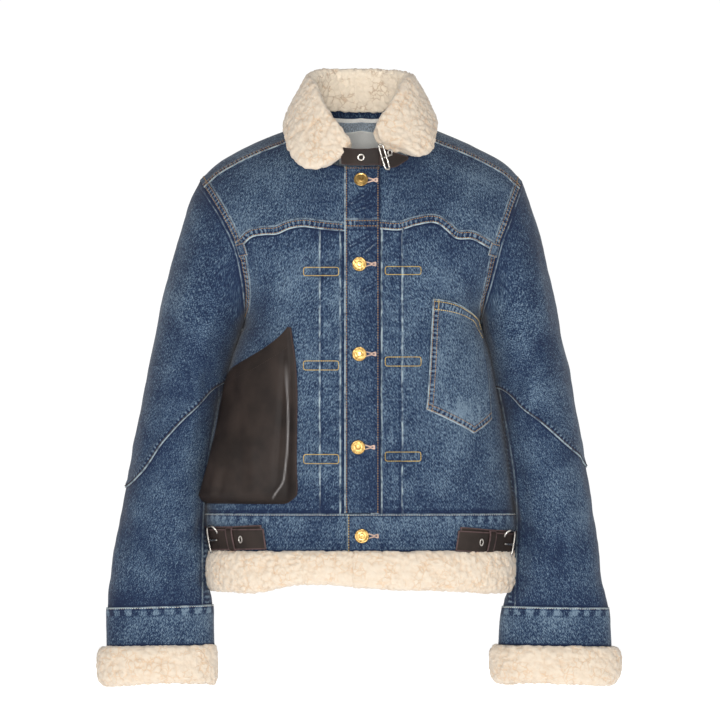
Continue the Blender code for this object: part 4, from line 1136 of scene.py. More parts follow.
def makeWaistband():
    for side in sideSign:
        points, normals = bandSurface(side, twoSpans(34, 44), bandFirst[side])
        soft = ripples(points, 51, 0.5, 26.0, 0.3, 9.0)
        out = points[..., 0] * sideSign[side]
        over = lapOver(out) if side == "left" else 0.0
        points = raised(points, normals, bandProud + over + soft * ease(-466, -474, points[..., 2]))
        edges = [points[-1]] + ([points[:, 0]] if side == "left" else [])
        # the tone follows the ripples: paler on their crests as painted light, deeper in their hollows as
        # painted shade
        values = clothValues(points, edges=edges, strips=[points[-1]], unders=[points[0]],
                             wearAndShade=0.4 + 0.5 * soft)
        gap, run = nearestOn(points, points[-1])
        start = ease(1.5, 3.0, gap) * ease(70, 110, out)
        blob = ease(-0.5, 0.3, np.sin(run * 0.42 + 2.2 * softNoise(points, 24.0, 53)))
        blob = blob * start * (1 - ease(8.5, 11.5, gap)) * (3.0 + 1.2 * softNoise(points, 15.0, 54))
        values["wearAndShade"] = values["wearAndShade"] + blob - 1.3 * start * (1 - ease(9.0, 13.0, gap))
        values["edge"] = values["edge"] + 0.6
        values["strip"] = np.maximum(values["strip"], 8.6)
        layCloth("waistband" + side.capitalize(), points, normals, values, ["waistband_" + side])
    points, normals = bothHalves(bandBack, twoSpans(19, 40))
    soft = ripples(points, 53, 0.5, 26.0, 0.3, 9.0)
    points = raised(points, normals, bandProud + soft * ease(-466, -474, points[..., 2]))
    # the tone follows the ripples: paler on their crests as painted light, deeper in their hollows as
    # painted shade
    values = clothValues(points, edges=[points[-1]], strips=[points[-1]], unders=[points[0]],
                         wearAndShade=0.1 + 0.5 * soft)
    layCloth("waistbandBack", points, normals, values, ["waistband_back"])


def placketSurface(z, out, lift=0.0):
    points, normals = bodyAt("left", turnAt("left", out, z), z)
    soft = 0.35 * softNoise(points, 22.0, 61)
    return raised(points, normals, placketLift + soft + lift), normals


# pale pulled creases on the placket: distance out and height of both ends
placketCreases = (((-13.0, -91.0), (6.0, -79.0)), ((-6.0, -99.0), (14.0, -92.0)),
                  ((7.0, -86.0), (20.0, -71.0)), ((-13.0, -141.0), (9.0, -129.0)),
                  ((3.0, -150.0), (18.0, -138.0)), ((2.0, -196.0), (20.0, -186.0)))


def makePlacket():
    z = np.linspace(waistSeam + 1.0, neckFront + 1.0, 150)[:, None]
    out = np.linspace(placketFree, placketSewn, 20)[None, :]
    points, normals = placketSurface(z + 0 * out, out)
    wearAndShade = 0.2 * softNoise(points, 18.0, 62) - 0.25
    values = clothValues(points, edges=[points[:, 0]], unders=[points[:, -1]], wearAndShade=wearAndShade, rim=1.0)
    for first, last in placketCreases:
        across, height = np.linspace(first, last, 12).T
        line, _ = placketSurface(height, across)
        values["edge"] = np.minimum(values["edge"], nearestOn(points, line)[0] + 0.85)
    above = points[..., 2] - placketSeam
    values["strip"] = np.where(above > -0.6, np.abs(above), 99.0)
    values["edge"] = np.minimum(values["edge"], np.abs(above) + 0.7)
    values["run"] = points[..., 0]
    layCloth("placketStrip", points, normals, values, ["placket"],
             wall=clothWall + 0.6)


makeWaistband()
makePlacket()
print("bands made")

# ---- sherpa: collar, hem and cuffs ---------------------------------------------------

lumpSize, lumpHeight, curlSize, curlHeight, crackDepth, furPitch = 8.0, 1.55, 4.0, 0.55, 1.25, 1.7
sherpaLook = {
    "cream": (0.685, 0.573, 0.45), "tip": (0.71, 0.61, 0.49), "crack": (0.66, 0.455, 0.285),
    # the inside colour is a much paler cream, painted on inside the collar as painted light
    "inside": (0.97, 0.84, 0.67), "roughness": 0.95,
}
furSection = {
    "out": (0.5, 8.0, 12.5, 13.0, 10.0, 3.0, -6.0, -11.0, -11.5, -8.0, -3.0),
    "down": (0.5, 1.5, 10.0, 30.0, 43.0, 49.5, 48.5, 40.0, 15.0, 2.0, 0.5),
}


def cellDistances(points, size, seed):
    # distances to the nearest and next nearest of one random spot in each cube
    spot = points / size
    base = np.floor(spot).astype(np.int64)
    first = np.full(points.shape[:-1], 9.0)
    second = first.copy()
    for i in (-1, 0, 1):
        for j in (-1, 0, 1):
            for k in (-1, 0, 1):
                cell = base + np.array([i, j, k])
                place = cell + np.stack([hashed(cell, seed + n) for n in (1, 2, 3)], axis=-1)
                gap = np.linalg.norm(place - spot, axis=-1)
                second = np.minimum(second, np.maximum(first, gap))
                first = np.minimum(first, gap)
    return first, second


def makeSherpa():
    # cream curls: paler on the lumps' crowns as a painted highlight, warm in the cracks, paler still inside
    # the collar as painted light, with a fine woolly grain
    made, tree, place = startMaterial("sherpa")
    fine = noiseAt(place, 1150.0, 3.0, 0.65)
    curl = cellsAt(place, 330.0, "SMOOTH_F1", Smoothness=0.6)
    # painted highlight: the crowns of the lumps are turned to a paler cream
    tip = attribute(tree, "crown") * 0.75 + (fine - 0.5) * 0.5
    color = blend(spread(tip, 0.0, 0.85), sherpaLook["cream"], sherpaLook["tip"])
    share = attribute(tree, "crack") * spread(noiseAt(place, 38.0), 0.30, 0.66, 0.5, 1.0)
    color = blend(share * 0.35, color, sherpaLook["crack"])
    # fine golden lines between the lumps, broken and bent
    drift = newNode(tree, "TexNoise", {"Vector": place, "Scale": 130.0})
    shift = vectorMaths("SCALE", Flow(drift.outputs["Color"]), {"Scale": 0.009})
    bent = vectorMaths("ADD", place, {1: shift})
    thin = 1.0 - spread(cellsAt(bent, 118.0, "DISTANCE_TO_EDGE"), 0.015, 0.11)
    thin = thin * spread(noiseAt(place, 60.0, 1.0), 0.42, 0.60, 0.12, 1.0)
    color = blend(thin * 0.66, color, sherpaLook["crack"])
    # painted light: where the collar faces the middle of the neck, in its own shade, the colour is turned
    # much paler
    inner = attribute(tree, "inner") * (1.0 - thin * 0.85)
    return finishMaterial(made, {
        "Base Color": blend(inner * 0.9, color, sherpaLook["inside"]), "Roughness": sherpaLook["roughness"],
        "Specular IOR Level": 0.1, "Sheen Weight": 0.35, "Sheen Roughness": 0.6,
    }, fine * (0.35 * mm) + curl * (-0.55 * mm) + thin * (-0.38 * mm), 0.8)


sherpa = makeSherpa()


def roundSections(sections, pitch):
    # a smooth closed line through each section's corners, at even steps
    step = np.linalg.norm(np.roll(sections, -1, axis=1) - sections, axis=-1).mean(axis=0)
    place = np.concatenate([[0], np.cumsum(step)])
    total = place[-1]
    count = len(step)
    wide = np.concatenate([sections[:, -1:], sections, sections[:, :2]], axis=1)
    where = np.concatenate([[place[0] - step[-1]], place, [total + step[0]]])
    slope = (wide[:, 2:] - wide[:, :-2]) / (where[2:] - where[:-2])[None, :, None]
    fine = np.linspace(0, total, int(total / pitch), endpoint=False)
    i = np.clip(np.searchsorted(place, fine, side="right") - 1, 0, count - 1)
    gap = (place[i + 1] - place[i])[None, :, None]
    t = ((fine - place[i]) / (place[i + 1] - place[i]))[None, :, None]
    return hermite(t, gap, wide[:, i + 1], wide[:, i + 2], slope[:, i], slope[:, i + 1])


def warped(points, amount, size, seed):
    # every place moved by smooth random amounts
    return points + amount * np.stack([softNoise(points, size, seed + n) for n in (0, 1, 2)], axis=-1)


def furBody(name, sections, closed, nodes, ends=0.0, seed=100, heart=None):
    # lumps, small curls and cracks pushed out of a smooth band, then closed at its ends
    grid = roundSections(sections, furPitch)
    middle = grid.mean(axis=1, keepdims=True)
    if ends:
        along = runAlong(middle[:, 0])
        gap = np.minimum(along, along[-1] - along)
        narrow = np.maximum(np.sqrt(1 - (1 - np.clip(gap / ends, 0, 1)) ** 2), 0.02)
        grid = middle + (grid - middle) * narrow[:, None, None]
    if closed:
        along = np.roll(grid, -1, axis=0) - np.roll(grid, 1, axis=0)
    else:
        along = np.gradient(grid, axis=0)
    around = np.roll(grid, -1, axis=1) - np.roll(grid, 1, axis=1)
    normals = unit(np.cross(along, around))
    if np.sum((grid - middle) * normals) < 0:
        normals = -normals
    if ends:
        tail = (1 - narrow)[:, None, None]
        outward = np.zeros_like(middle)
        outward[: len(middle) // 2] = middle[0] - middle[3]
        outward[len(middle) // 2:] = middle[-1] - middle[-4]
        normals = unit(normals * (1 - tail) + unit(outward) * tail)
    first, second = cellDistances(warped(grid, 2.4, 11.0, seed), lumpSize, seed)
    tiny, _ = cellDistances(warped(grid, 0.8, 5.0, seed + 5), curlSize, seed + 20)
    lump = np.clip(1 - (first / 0.78) ** 2, -0.25, 1)
    curls = np.clip(1 - (tiny / 0.8) ** 2, -0.2, 1)
    split = 1 - ease(0.01, 0.11, second - first)
    patches = softNoise(grid, 19.0, seed + 31) + 0.5 * softNoise(grid, 8.0, seed + 32)
    deep = split * ease(-0.50, 0.30, patches)
    lift = lumpHeight * (lump - 0.45) + curlHeight * (curls - 0.3) * 1.4
    lift = lift - crackDepth * deep + 0.9 * softNoise(grid, 26.0, seed + 40)
    points = raised(grid, normals, lift)
    quads = tubeQuads(grid.shape[:2], closed)
    flat = points.reshape(-1, 3)
    if volumeOf(flat, quads) < 0:
        quads = quads[:, ::-1]
    values = {"crack": np.clip(deep * 1.1, 0, 1), "crown": np.clip(lump, 0, 1), "inner": 0.0 * lump}
    if heart is not None:
        # how much each place faces the middle of the neck, where a paler colour is painted on as painted
        # light
        facing = np.sum(normals * levelled(heart - grid), axis=-1)
        values["inner"] = ease(0.1, 0.7, facing)
    piece = meshFrom(name, flat, quads, [sherpa], {k: v.ravel() for k, v in values.items()})
    keep(piece, "sherpa", nodes)
    return piece


def furBand(points, normals, sideShare, wave=0.0, narrow=1.0):
    # a fur section at every point of a lower edge, slimmer where it faces sideways
    flat = levelled(normals)
    slim = (sideShare + (1 - sideShare) * np.abs(flat[:, 1]))[:, None] * narrow
    out = np.array(furSection["out"])[None, :] * slim
    low = np.array(furSection["down"])[None, :] * (1 + wave)
    return points[:, None, :] + flat[:, None, :] * out[..., None] - low[..., None] * np.array([0, 0, 1.0])


def hemLine(side, u, first, behind=False):
    # the waistband's lower edge, where the fur of the hem starts
    height = -511.0
    turn = columnTurn(side, np.array([height]), first, u[None, :])
    turn = 180.0 - turn if behind else turn
    return bodyAt(side, turn, np.full(turn.shape, height))


def hemBack(side, u):
    return hemLine(side, u, 0.0, behind=True)


def makeHem():
    for side, first, low, high, short, seed in (("right", 7.0, 70, 140, 0.15, 110),
                                                ("left", -13.0, 0, 75, 0.13, 150)):
        points, normals = (part[0] for part in hemLine(side, twoSpans(46, 100), first))
        # the fur is a little shorter near the middle
        x = points[:, :1]
        wave = 0.035 * np.sin(x / 23.0 + 1.0) - short * (1 - ease(low, high, np.abs(x)))
        wave = np.where(points[:, 1:2] < 0, wave, 0.0)
        furBody("sherpaHem" + side.capitalize(), furBand(points, normals, 0.7, wave), False,
                ["sherpa_hem_" + side], ends=4.0, seed=seed)
    points, normals = (part[0] for part in bothHalves(hemBack, twoSpans(44, 100)))
    x = points[:, :1]
    wave = -0.03 - 0.14 * (1 - ease(70, 140, np.abs(x))) * (1 - 0.7 * ease(-30, 60, x))
    furBody("sherpaHemBack", furBand(points, normals, 0.7, wave), False, ["sherpa_hem_back"], ends=3.0,
            seed=190)


def makeFurCuff(side):
    angle = np.linspace(-math.pi, math.pi, 190, endpoint=False)
    points, normals = sleeveSurface(side, 10.0 + 0 * angle, angle, relief=False)
    wave = 0.03 * np.sin(angle * 2 + 0.6)[:, None] - 0.06
    inward = np.clip(levelled(normals)[:, 0] * -sideSign[side], 0, 1)
    slim = 1 - (0.6 if side == "right" else 0.12) * inward
    furBody("sherpaCuff" + side.capitalize(), furBand(points, normals, 1.0, wave, slim[:, None]), True,
            ["sherpa_cuff_" + side], seed=230 if side == "right" else 270)


collarForm = {
    "standHeight": 12.0,
    "right": {
        "turn": (9, 22, 38, 60, 90, 125, 155, 180), "rollOut": (8, 26, 43, 55, 62, 51, 28, 0),
        "rollY": (-100, -93, -81, -58, -22, 22, 45, 52), "rollZ": (-22, 1, 25, 51, 63, 70, 72, 72),
        "edgeOut": (41, 62, 79, 85, 85, 74, 42, 0), "edgeLean": (-55, -50, -39, -25, -6, 20, 32, 36),
    },
    "left": {
        "turn": (18, 27, 38, 60, 90, 125, 155, 180), "rollOut": (14, 22, 35, 51, 60, 50, 27, 0),
        "rollY": (-97, -91, -81, -58, -22, 22, 45, 52), "rollZ": (-8, 8, 27, 55, 63, 69, 71, 72),
        "edgeOut": (44, 60, 76, 83, 84, 74, 42, 0), "edgeLean": (-45, -44, -38, -26, -6, 20, 32, 36),
    },
}


neckHeart = np.array([0.0, neckShift, 0.0])


def neckPoint(side, turn):
    # a place of the neck seam; turn 0 is the centre front, 180 the centre back
    angle = np.radians(turn)
    out = neckHalf * np.clip(np.sin(angle), 0, 1) ** 0.9
    z = neckline(out)
    flat = np.radians(turnAt(side, out, z))
    drop = 1 - (shoulderTop(out) - z) / shoulderRound
    y = -depthFront(z) * np.cos(flat) ** squareness * np.sqrt(np.clip(1 - drop ** 2, 0, 1))
    front = np.stack([sideSign[side] * out, y, z], axis=-1)
    back = topPoint(side, out, leanAtNeck(np.minimum(out, neckHalf - 0.01)))
    share = ease(75.0, 105.0, turn)[..., None]
    return front * (1 - share) + back * share


def towardsNeck(spots):
    # level ways from each place to the middle of the neck
    return levelled(neckHeart - spots)


def collarSections(side, turn):
    # the folded collar cut across: stand inside, roll on top, fall outside
    table = collarForm[side]
    rule = {key: curve(table["turn"], table[key])(turn) for key in (
        "rollOut", "rollY", "rollZ", "edgeOut", "edgeLean")}
    roll = np.stack([sideSign[side] * rule["rollOut"], rule["rollY"], rule["rollZ"]], axis=-1)
    edgeNormal = topNormal(side, rule["edgeOut"], rule["edgeLean"])
    edge = topPoint(side, rule["edgeOut"], rule["edgeLean"]) + edgeNormal * 9.0
    foot = neckPoint(side, turn)
    inward = towardsNeck(foot)
    up = np.array([0.0, 0.0, 1.0])
    foot = foot + up * (collarForm["standHeight"] + 0.3) + inward * 3.6
    foot[:, 2] = np.minimum(foot[:, 2], roll[:, 2] - 8.0)
    fall = unit(edge - roll)
    face = unit(edgeNormal - fall * np.sum(edgeNormal * fall, axis=-1, keepdims=True))
    face = unit(face - 0.35 * inward)
    return np.stack([
        foot + inward * 4.5, (foot + roll) / 2 + inward * 5.0, roll + inward * 6.0 - up * 3.5,
        roll + inward * 2.0 + up * 3.2, roll + face * 3.5 + up * 3.0,
        roll + (edge - roll) * 0.22 + face * 6.5, roll + (edge - roll) * 0.6 + face * 7.5,
        edge + face * 5.5, edge + fall * 5.5, edge - edgeNormal * 6.0,
        edge + (roll - edge) * 0.5 - face * 2.0, foot - inward * 2.5], axis=1)


def makeCollar():
    sections = []
    for side in sideSign:
        turn = np.linspace(collarForm[side]["turn"][0], 180.0, 170)
        part = collarSections(side, turn)
        sections.append(part if side == "right" else part[-2::-1])
    furBody("sherpaCollar", np.concatenate(sections), False, ["collar_sherpa"], ends=7.0, seed=310,
            heart=neckHeart)


makeHem()
makeFurCuff("right")
makeFurCuff("left")
makeCollar()
print("sherpa made")

# ---- leather, metal and threads ------------------------------------------------------

leatherLook = {"deep": (0.0135, 0.0090, 0.0075), "warm": (0.031, 0.0210, 0.0170),
               # the pale grey after the edge colour is a painted highlight for the polished crease
               "edge": (0.135, 0.085, 0.085), "paintedHighlight": (0.26, 0.245, 0.24), "roughness": 0.50,
               "grain": 0.16}
metalLook = {"brass": (0.53, 0.345, 0.125), "brassDeep": (0.25, 0.145, 0.04), "silver": (0.60, 0.57, 0.52),
             "silverDeep": (0.30, 0.27, 0.25)}
threadLook = {"gold": (0.66, 0.46, 0.12), "brown": (0.40, 0.225, 0.07), "beige": (0.66, 0.47, 0.38),
              "dark": (0.035, 0.02, 0.016), "white": (0.78, 0.74, 0.66)}


def makeLeather(name, edgeShare, rough=0.0):
    # fine pebbled grain, soft clouds in colour and gloss, paler rubbed edges, and a painted highlight along
    # the polished crease
    made, tree, place = startMaterial(name)
    cloud = noiseAt(place, 26.0, 3.0)
    color = blend(spread(cloud, 0.3, 0.7), leatherLook["deep"], leatherLook["warm"])
    rub = 1.0 - spread(attribute(tree, "edge"), 0.7, 2.2)
    rub = rub * spread(noiseAt(place, 210.0), 0.25, 0.6, 0.45, 1.0)
    color = blend(rub * edgeShare, color, leatherLook["edge"])
    polishAndPaintedHighlight = attribute(tree, "polishAndPaintedHighlight")
    gloss = leatherLook["roughness"] + rough - 0.06 + cloud * 0.16 + rub * 0.25
    grain = spread(cellsAt(place, 780.0, "DISTANCE_TO_EDGE"), 0.0, 0.25)
    return finishMaterial(made, {
        # painted highlight: the polished crease's colour is turned pale grey, as well as its roughness
        # lowered
        "Base Color": blend(polishAndPaintedHighlight * 0.8, color, leatherLook["paintedHighlight"]), "Roughness": gloss - polishAndPaintedHighlight * 0.40,
        "Specular IOR Level": 0.22,
    }, grain * (leatherLook["grain"] * mm) + noiseAt(place, 1500.0) * (0.05 * mm), 0.55)


def makeMetal(name, rough, wearScale):
    # polished metal with tarnish in patches and fine scratches
    made, _, place = startMaterial(name)
    patch = noiseAt(place, wearScale, 3.0, 0.6)
    scratch = noiseAt(stretched(place, 2600.0, 400.0, 600.0), 1.0)
    return finishMaterial(made, {
        "Base Color": blend(spread(patch, 0.30, 0.62), metalLook[name + "Deep"], metalLook[name]),
        "Metallic": 1.0, "Roughness": spread(patch, 0.3, 0.7, rough + 0.22, rough),
    }, scratch * (0.05 * mm), 0.5)


def finishWoven(made, fine, cloud, colors, roughness):
    # fine lines and soft clouds between two shades
    share = spread(fine * 0.6 + cloud * 0.4, 0.3, 0.7)
    return finishMaterial(made, {"Base Color": blend(share, *colors), "Roughness": roughness},
                          fine * (0.12 * mm), 0.6)


def makeThread(name, color):
    made, _, place = startMaterial(name)
    return finishWoven(made, noiseAt(place, 1900.0), noiseAt(place, 90.0), shades(color, 0.55, 1.35), 0.75)


def makeTape(name, color, ribs):
    made, _, place = startMaterial(name)
    fine = noiseAt(stretched(place, 1400.0, 1400.0, ribs), 1.0)
    return finishWoven(made, fine, noiseAt(place, 45.0), shades(color, 0.82, 1.0), 0.85)


leather = makeLeather("leather", 0.30)
strapLeather = makeLeather("strapLeather", 0.85, 0.04)
brass = makeMetal("brass", 0.26, 260.0)
silver = makeMetal("silver", 0.20, 330.0)
threads = {key: makeThread(key + "Thread", threadLook[key]) for key in threadLook}
labelCloth = makeTape("label", (1.0, 0.98, 0.92), 2400.0)
tapeCloth = makeTape("tape", (0.90, 0.89, 0.85), 700.0)
innerDenim = makeDenim("denimDeep", -0.75)


# ---- chest pocket ---------------------------------------------------------------------

pocketStand, pocketWall, pocketFullness = 1.2, 1.2, 2.2
# the pocket's outline over the share across it: distance out and height of its top and foot
pocketTable = {"rimHeight": (-369, -353.8, -330.6, -275.7, -243, -215),
               "rimOut": (158, 157.2, 155, 150, 145, 141),
               "share": (0, 0.12, 0.3, 0.55, 0.8, 1.0), "top": (-204.5, -205.5, -207.5, -213.5, -226, -243),
               "innerFoot": -339.5, "tip": (0.63, -369.0), "outerFoot": -352.0}


def pocketGrid():
    share = np.linspace(0, 1, 46)
    tip, lowest = pocketTable["tip"]
    foot = np.interp(share, (0, tip, 1), (pocketTable["innerFoot"], lowest, pocketTable["outerFoot"]))
    top = curve(pocketTable["share"], pocketTable["top"])(share)
    rise = np.linspace(0, 1, 62)[:, None]
    z = foot + (top - foot) * rise
    inner = 78.5 + 8.0 * rise ** 0.7
    first = turnAt("left", inner, z)
    last = turnAt("left", curve(pocketTable["rimHeight"], pocketTable["rimOut"])(z), z)
    points, normals = bodyAt("left", first + (last - first) * share, z)
    across = np.clip(np.minimum(share, 1 - share) / 0.3, 0, 1)[None, :]
    full = np.sqrt(across) * np.clip(rise / 0.25, 0, 1) ** 0.5 * (0.55 + 0.45 * rise)
    soft = ripples(points, 71, 0.5, 24.0, 0.25, 9.0)
    edgeGap = np.minimum(across * 0.3, rise) * 90
    lift = pocketStand + pocketWall + pocketFullness * full
    lift = lift + soft * ease(1, 10, edgeGap) + frontRelief("left", points)
    return raised(points, normals, lift), normals


def makeChestPocket():
    points, normals = pocketGrid()
    low = distanceTo(points, points[0])
    fade = np.clip(softNoise(points * np.array([1.0, 1.0, 0.12]), 4.5, 75), 0, 1)
    fade = fade * ease(9, 14, low) * (1 - ease(22, 44, low))
    wearAndShade = 0.15 + 0.4 * softNoise(points, 20.0, 73) + 3.0 * fade
    values = clothValues(points, edges=rimsOf(points), strips=[points[0], points[:, 0], points[-1]],
                         widths=[9.6, 9.6, 13.5], rim=0.3, wearAndShade=wearAndShade)
    layCloth("chestPocket", points, normals, values, ["chest_pocket"],
             wall=pocketWall, sides=(denimCuff, denimReverse))


# ---- leather pouch ---------------------------------------------------------------------

pouchFoot, pouchTop, pouchSlant, pouchWall, pouchLay, pouchEdgeLay = -454.0, -240.0, 62.0, 2.0, 2.2, 1.0
pouch = {
    "height": (-454, -440, -410, -360, -320, -285, -240), "stand": (26, 29, 25, 18, 13, 9, 4),
    "inner": (79, 77, 77.5, 77, 76.5, 78, 84), "outerTurn": (80, 80, 79, 78, 78, 76, 64),
    "rimHeight": (-456, -451, -446, -435, -410, -368, -311, -300, -271, -256, -240),
    "rimOut": (187, 193, 197, 195, 188, 178, 167, 164, 137, 119, 92),
    "share": (0, 0.03, 0.062, 0.10, 0.2, 0.4, 0.6, 0.75, 0.88, 0.96, 1.0),
    "across": (0.0, 0.06, 0.33, 0.36, 0.42, 0.56, 0.75, 0.92, 1.0, 0.62, 0.0),
}
# the glossy crest's share across, over the rise
pouchGloss = ((0, 0.065, 0.12, 0.22, 0.46, 0.75, 1.0), (0.17, 0.14, 0.10, 0.077, 0.070, 0.10, 0.12))
# soft dents and ridges of the leather: share and rise of both ends, width, depth
pouchFolds = ((0.15, 0.10, 0.13, 0.86, 0.03, -1.8),
              (0.40, 0.05, 0.62, 0.62, 0.06, -1.5), (0.70, 0.04, 0.80, 0.55, 0.05, 1.6),
              (0.30, 0.02, 0.42, 0.4, 0.05, 1.0), (0.52, 0.5, 0.78, 0.92, 0.05, -1.2),
              (0.62, 0.0, 0.66, 0.24, 0.035, -1.2), (0.20, 0.0, 0.10, 0.12, 0.03, 1.2))
pouchRise = np.concatenate([np.linspace(0, 0.12, 14), np.linspace(0.12, 1, 74)[1:]])


def pouchGrid():
    share = np.linspace(0, 1, 92)
    rise = pouchRise[:, None]
    top = pouchTop - pouchSlant * np.clip((share - 0.06) / 0.94, 0, 1) ** 0.9
    foot = pouchFoot + 11.0 * np.clip(1 - share / 0.085, 0, 1) ** 2.2
    z = foot + (top - foot) * rise
    inner = turnAt("right", curve(pouch["height"], pouch["inner"])(z), z)
    outer = curve(pouch["height"], pouch["outerTurn"])(z)
    turns = inner + (outer - inner) * share
    stand = curve(pouch["height"], pouch["stand"])(z) * curve(pouch["share"], pouch["across"])(share)
    close = curve((0, 0.02, 0.05, 0.1, 1.0), (0, 0.5, 0.82, 1.0, 1.0))(rise)
    points, normals = bodyAt("right", turns, z)
    lay = pouchEdgeLay + (pouchLay - pouchEdgeLay) * ease(0.0, 0.03, share)
    dent = foldField(pouchFolds, share[None, :] + 0 * rise, rise + 0 * share[None, :])
    dent = dent + 0.5 * softNoise(points, 38.0, 81)
    crest = np.exp(-((share[None, :] - curve(*pouchGloss)(rise)) / 0.015) ** 2)
    dent = dent + 0.7 * crest * ease(0.02, 0.08, rise) * (1 - ease(0.72, 0.86, rise))
    flat = ease(0.0, 0.05, share) * (1 - ease(0.95, 1.0, share)) * ease(0, 0.06, rise)
    edgeRelief = frontRelief("right", points) * (1 - ease(0.02, 0.12, share))
    lift = lay + pouchWall + stand * close + dent * flat + edgeRelief
    points = raised(points, normals, lift)
    # each row is drawn out sideways to the bag's own hanging outline
    rim = np.argmin(points[..., 0], axis=1)
    hang = -curve(pouch["rimHeight"], pouch["rimOut"])(points[np.arange(len(rim)), rim, 2])
    return drawnOut(points, rim, hang), normals


def drawnOut(points, rim, hang):
    # every row's widths are scaled so that its rim stands at the wanted place
    start, end = points[:, 0, 0], points[np.arange(len(rim)), rim, 0]
    scale = ((hang - start) / (end - start))[:, None]
    points[..., 0] = start[:, None] + (points[..., 0] - start[:, None]) * scale
    return points


def makePouch():
    points, normals = pouchGrid()
    edge = np.minimum.reduce([distanceTo(points, points[:, 0]) * 0.85, distanceTo(points, points[-1]) + 0.6,
                              distanceTo(points, points[0]) + 0.9])
    share = np.linspace(0, 1, points.shape[1])[None, :]
    rise = pouchRise[:, None]
    # a narrow glossy line near the inner edge, wider and weaker towards its top: lower roughness and a
    # painted highlight in its colour
    spreadOut = ease(0.6, 0.75, rise)
    line = np.exp(-((share - curve(*pouchGloss)(rise)) / (0.0062 + 0.012 * spreadOut)) ** 2)
    polishAndPaintedHighlight = line * (1 - 0.5 * spreadOut) * (ease(0.02, 0.06, rise) * (1 - ease(0.70, 0.84, rise)))
    values = {"edge": edge, "polishAndPaintedHighlight": polishAndPaintedHighlight}
    layCloth("leatherPouch", points, normals, values, ["leather_pocket"],
             wall=pouchWall * 0.7, sides=(leather, strapLeather), slotName="leather")


# ---- side tabs --------------------------------------------------------------------------

tabInner, tabTop, tabFoot, tabLayer, tabLay, keeperPlaces = 115.0, -484.5, -509.5, 1.7, 2.2, (151.0, 158.6)
# each tab's drop, and its slant over the distance from its inner end
tabHang = {"right": (0.6, -0.01), "left": (-1.5, -0.055)}


def bandGrid(side, turns, heights, lift):
    turn, z = np.broadcast_arrays(turns[None, :], heights[:, None])
    points, normals = bodyAt(side, turn, z)
    return raised(points, normals, lift + 0 * turn), normals


def strapPiece(name, points, normals, wall, nodes):
    values = {"edge": nearestOf(points, rimsOf(points)) + 0.15}
    hide = leather if "chin" in name else strapLeather
    layCloth(name, points, normals, values, nodes, wall=wall, sides=(hide, hide),
             slotName="leather")


def makeTabs(side):
    name = side.capitalize()
    middle = (tabTop + tabFoot) / 2
    first = float(turnAt(side, tabInner, middle))
    under = tabLay + tabLayer
    over = under + 0.3 + tabLayer
    heights = np.linspace(tabFoot + 1.5, tabTop + 4.6, 14)
    turns = np.linspace(first + 1.2, 112.0, 90)
    slope = (1 - ease(first, first + 22, turns))[None, :]
    points, normals = bandGrid(side, turns, heights, under + 0.8 * slope)
    points[..., 2] += 1.4 * slope - 1.6
    strapPiece("tabUnder" + name, tabShift(side, points), normals, tabLayer, ["tab_under_" + side])
    heights = np.linspace(tabFoot, tabTop, 14)
    turns = np.linspace(first, float(turnAt(side, 178.5, middle)), 60)
    bow = 0.9 * np.sin(np.clip((turns - first) / 18.0, 0, 1) * math.pi)[None, :]
    points, normals = bandGrid(side, turns, heights, over + bow)
    strapPiece("tab" + name, tabShift(side, points), normals, tabLayer, ["tab_" + side])
    low, high = (float(turnAt(side, place, middle)) for place in keeperPlaces)
    turns = np.linspace(low, high, 8)
    heights = np.linspace(tabFoot - 1.6, tabTop + 1.8, 16)
    rounded = 1.9 - 2.6 * np.abs(np.linspace(-1, 1, 16)[:, None]) ** 7
    points, normals = bandGrid(side, turns, heights, over + rounded)
    strapPiece("tabKeeper" + name, tabShift(side, points), normals, 1.2, ["tab_keeper_" + side])
    return middle, over


def tabShift(side, points):
    # the tab hangs a little lower and slants
    drop, slant = tabHang[side]
    points[..., 2] += drop + slant * (np.abs(points[..., 0]) - tabInner)
    return points


# ---- metal pieces -----------------------------------------------------------------------

def frameOn(normal):
    across = unit(np.cross(normal, np.array([0.0, 0.0, 1.0])))
    return across, np.cross(across, normal)


def turned(centre, normal, radius, height, count=44, stretch=(1.0, 1.0)):
    # a round piece turned about the normal, from radii and heights along its profile
    across, up = frameOn(normal)
    spin = np.linspace(0, 2 * math.pi, count, endpoint=False)
    ring = (np.cos(spin)[:, None] * across * stretch[0] + np.sin(spin)[:, None] * up * stretch[1])
    radius, height = np.asarray(radius, float), np.asarray(height, float)
    points = centre + ring[None] * radius[:, None, None] + normal * height[:, None, None]
    at = np.arange(points.shape[0] * count).reshape(-1, count)
    return points.reshape(-1, 3), gridQuads(closedRing(at, 1))


def barLoop(line, normals, wide, thick, closed=True, corners=10):
    # a bar of oval section that follows a line
    ahead = np.roll(line, -1, axis=0) - np.roll(line, 1, axis=0) if closed else np.gradient(line, axis=0)
    side = unit(np.cross(ahead, normals))
    turn = np.linspace(0, 2 * math.pi, corners, endpoint=False)
    points = (line[:, None] + side[:, None] * (np.cos(turn) * wide)[None, :, None]
              + normals[:, None] * (np.sin(turn) * thick)[None, :, None])
    return points.reshape(-1, 3), tubeQuads(points.shape[:2], closed)


def solidFrom(name, parts, material, slotName, nodes):
    # several closed parts in one object, each turned so that its faces point outwards
    points, quads, start = [], [], 0
    for spots, faces in parts:
        if volumeOf(spots - spots.mean(axis=0), faces) < 0:
            faces = faces[:, ::-1]
        points.append(spots)
        quads.append(faces + start)
        start += len(spots)
    keep(meshFrom(name, np.concatenate(points), np.concatenate(quads), [material]), slotName, nodes)


